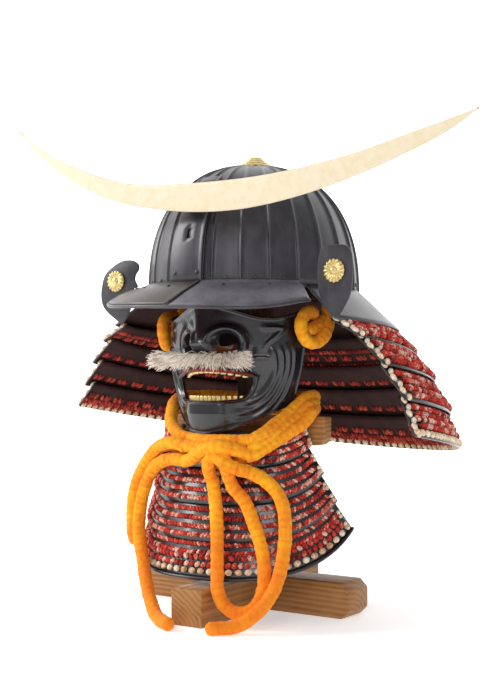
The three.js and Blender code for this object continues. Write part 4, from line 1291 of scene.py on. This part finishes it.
def mask_relief(side, x, z, v):
    """How far the modelled features stand out from the mask's plain form."""
    away = abs(x)
    along = radians(abs(side)) * 85
    lips = 3.0 * bell(v, 0.05, 0.036)

    wing = hypot(away - NOSTRIL["x"], z - NOSTRIL["z"])
    high = smoothstep(z, 284, 294)
    nose = 4.0 * smoothstep(wing, 25, 15) + 3.4 * bell(wing, 17, 2.8)
    if x < 0:
        nose *= mix(1, 0.25, smoothstep(away, 4, 14))
    nose = (nose - 10.0 * smoothstep(wing, 14, 6)) * high

    cheek = smoothstep(along, 62, 72) * smoothstep(along, 100, 88)
    folds = sum(2.6 * bell(z, level, 2.6) for level in (334, 320))
    folds += 2.6 * bell(z, 300 + 0.7 * (along - 66), 2.8)
    folds *= 1 if x > 0 else 0.35
    low_fold = 2.2 * bell(z, 286.5, 2.6) * smoothstep(along, 48, 56) * smoothstep(along, 78, 70)

    jowl = hypot(along - 45, z - 275)
    spread = smoothstep(along - 45 + (285 - z) * 0.9, 6, 24)
    spread *= smoothstep(z, 306, 292) * smoothstep(along, 38, 60)
    jowls = sum(3.2 * bell(jowl, radius, 4.2) for radius in (37.5, 48, 58, 68)) * spread

    chin = 2.8 * smoothstep(away, 26, 22) * smoothstep(z, 240, 235)
    return lips + nose + cheek * folds + low_fold + jowls + chin


def mask_surface(u, v):
    x, z = mouth_outline(u)
    side = side_at(x, z)
    low, high = jaw_z(side), brow_z(side)
    start = (side / 90, (z - low) / (high - low))
    across, up = (mix(a, b, v) for a, b in zip(start, border_outline(u)))
    side = 90 * across
    z = mix(jaw_z(side), brow_z(side), up)
    plain = mask_point(side, z, 0)
    relief = mask_relief(side, plain[0], z, v)
    edge = 2.0 * smoothstep(v, 0.96, 1.0)
    return mask_point(side, z, -relief - edge)


def make_mask():
    rows = [*span(0, 0.12, 12), *span(0.14, 0.92, 50), 0.94, 0.96, 0.97, 0.98, 0.99, 1]

    def stain(u, v):
        """Red shows in the nostril on the wearer's left."""
        x, _, z = mask_surface(u, v)
        near = smoothstep(hypot(abs(x) - NOSTRIL["x"], z - NOSTRIL["z"] + 3), 12, 8)
        return near * smoothstep(z, 304, 299) if x > 0 else 0.0

    sheet("mask_face", 260, rows, mask_surface, (0, 0, 275), MASK_LACQUER, "lacquer", wall=MASK["wall"],
          inside=RED_LACQUER, replaced=["mask"], worn=stain)

    for name, count, wide, tall in (("lower", 15, 4.9, 9.5), ("upper", 13, 6.6, 8.0)):
        bm = bmesh.new()
        for i in range(count):
            side = mix(-TEETH["spread"], TEETH["spread"], (i + 0.5) / count)
            upper_z = mouth_arch(mask_point(side, 260, 0)[0]) - 2.4 + tall / 2
            place = mask_point(side, TEETH["lower_z"] if name == "lower" else upper_z, MASK["wall"] + 2.4)
            shape = Matrix.Diagonal((wide * MM, TEETH["depth"] * MM, tall * MM, 1))
            matrix = at(place) @ Matrix.Rotation(radians(side), 4, "Z") @ shape
            tooth = bmesh.ops.create_cube(bm, size=1, matrix=matrix)["verts"]
            ease_edges(bm, list({edge for vert in tooth for edge in vert.link_edges}), TEETH["ease"])
        finish_piece(f"gold_teeth_{name}", bm, GOLD, "gold", [f"teeth_{name}"])

    # A matte black ball painted as the shade deep in each nostril pit
    bm = bmesh.new()
    for way in (-1, 1):
        side = way * side_at(NOSTRIL["shade_x"], NOSTRIL["z"])
        place = at(mask_point(side, NOSTRIL["shade_z"], 4.2))
        ball(bm, place @ Matrix.Rotation(radians(side), 4, "Z"), (13, 3.4, 8.5), (24, 14))
    finish_piece("nostril_shade", bm, SHADE, "lacquer")

    bm = bmesh.new()
    line, radii = [], []
    for u in span(0.25, 0.75, 60):
        x, z = mouth_outline(u)
        line.append(Vector(mask_point(side_at(x, z), z + 2.6, -1.8)) * MM)
        radii.append(mix(1.4, 3.4, sin(pi * (u - 0.25) * 2)) * MM)
    tube(bm, line, radii, 12)
    finish_piece("upper_lip", bm, RED_LACQUER, "lacquer")


def make_moustache():
    rng = random.Random(5)
    bm = bmesh.new()
    tint = bm.verts.layers.float.new("tint")
    along = bm.verts.layers.float.new("along")
    for _ in range(MOUSTACHE["hairs"]):
        s = rng.uniform(-1, 1)
        flare = abs(s) ** 1.5
        lift = rng.uniform(-5 - 4 * flare, 5)
        root = Vector((MOUSTACHE["half_width"] * s, 0, MOUSTACHE["root_z"] + lift))
        side = degrees(asin(min(abs(root.x) / 86, 0.99))) * copysign(1, s)
        root.y = mix(mask_point(side, root.z, 0)[1], MOUSTACHE["end_y"], flare) - 1
        sideways = copysign(mix(0.15, 1.0, flare), s) + rng.gauss(0, 0.16)
        forward = -0.65 + 0.25 * flare + rng.gauss(0, 0.12)
        heading = Vector((sideways, forward, -0.30 + 0.20 * flare + rng.gauss(0, 0.17)))
        reach = rng.uniform(10, 16) + 5 * flare
        tip = root + heading.normalized() * reach
        tip.z = max(min(tip.z, MOUSTACHE["high_z"]), MOUSTACHE["low_z"])
        middle = root.lerp(tip, 0.5) + Vector((0, -1.5, rng.uniform(0.5, 3)))
        aside = (tip - root).cross(Vector((0, 0.3, 1))).normalized() * rng.uniform(0.28, 0.5)
        shade = rng.random()
        verts = []
        for place, share, wide in ((root, 0, 1), (middle, 0.5, 0.9), (tip, 1, 0.15)):
            for way in (-1, 1):
                vert = bm.verts.new((place + aside * wide * way) * MM)
                vert[tint], vert[along] = shade, share
                verts.append(vert)
        for a in (0, 2):
            bm.faces.new((verts[a], verts[a + 1], verts[a + 3], verts[a + 2]))
    piece = finish_piece("moustache_hair", bm, HAIR, "hair", ["moustache"])
    body = piece.modifiers.new("body", "SOLIDIFY")
    body.thickness = 0.35 * MM


# ---- the knot ----
def make_knot():
    """Bights of the same cord, drawn tight over each other."""
    bights = [
        [(-16, -117, 174.2), (-5, -120, 176), (14, -127, 186), (32, -129, 191), (48, -124, 190),
         (58, -113, 186), (66, -106, 182)],
        [(-17, -105.5, 196.8), (0, -113, 197), (20, -119, 197), (38, -117, 197), (52, -110, 197),
         (66, -102.5, 198.5)],
        [(67, -110.3, 164.3), (56, -118, 168), (42, -126, 176), (28, -124, 184), (10, -120, 189),
         (-17, -119, 191)],
        [(21, -113.5, 151), (20, -119, 163), (24, -126, 174), (30, -122, 184), (34, -113, 190)],
        [(44, -112.7, 151), (44, -119, 163), (44, -124, 176), (40, -118, 186), (36, -110, 192)],
        [(-17, -103, 182.3), (6, -106, 178), (30, -107, 172), (50, -106, 176), (58, -105, 184)],
    ]
    bm = bmesh.new()
    for points in bights:
        chenille(bm, smooth_route(points, CORD_STEP)[0], free_start=True, free_end=True)
    finish_piece("silk_knot", bm, SILK, "cord", ["cord_knot"])


# ---- stand ----
def softened(node, name, material, width):
    """A copy of a solid with its edges eased by this width in millimetres."""
    bm = bmesh.new()
    bm.from_mesh(NODES[node].data)
    bmesh.ops.remove_doubles(bm, verts=bm.verts, dist=0.00005)
    bmesh.ops.dissolve_limit(bm, angle_limit=radians(1), verts=bm.verts, edges=bm.edges)
    edges = [e for e in bm.edges if e.is_manifold and e.calc_face_angle() > radians(25)]
    ease_edges(bm, edges, width)
    for layer in list(bm.loops.layers.uv.values()):
        bm.loops.layers.uv.remove(layer)
    finish_piece(name, bm, material, "wood", [node], sharp=35)


def make_stand():
    for node, name, material, ease in (
            ("stand_foot", "wooden_foot", WOOD_Y, 1.6), ("stand_beam", "wooden_beam", WOOD_X, 1.8),
            ("stand_post", "wooden_post", SHADED_WOOD_Z, 1.2), ("stand_bar", "wooden_bar", WOOD_X, 1.4),
            ("chin_rest", "wooden_chin_rest", WOOD_Y, 1.0)):
        softened(node, name, material, ease)
    # Thin black discs painted as the shade inside the peg holes
    for side, name in ((-1, "right"), (1, "left")):
        bm = bmesh.new()
        matrix = at((side * 81.8, -30.2, 207.6)) @ Matrix.Rotation(radians(90), 4, "X")
        bmesh.ops.create_cone(bm, cap_ends=True, segments=20, radius1=3 * MM, radius2=3 * MM, depth=0.5 * MM,
                              matrix=matrix)
        finish_piece(f"peg_hole_shade_{name}", bm, DEEP_BLACK, "wood", sharp=35)
    for node, material in (("head_rest", SHADED_WOOD_Z), ("crest_holder", IRON)):
        NODES[node].data.materials.clear()
        NODES[node].data.materials.append(material)


make_camera()
make_studio()
make_cords()
make_bound_strands()
make_knot()
make_bowl()
make_front_plate()
make_visor()
make_rivets()
make_crown_fitting()
make_crest()
make_turnbacks()
make_neck_guard()
make_throat_guard()
make_mask()
make_moustache()
make_stand()

size = {"cad": [list(c) for c in CAD_BOX], "visual": [list(c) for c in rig.bounds()]}
with open("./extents.json", "w") as file:
    json.dump(size, file)
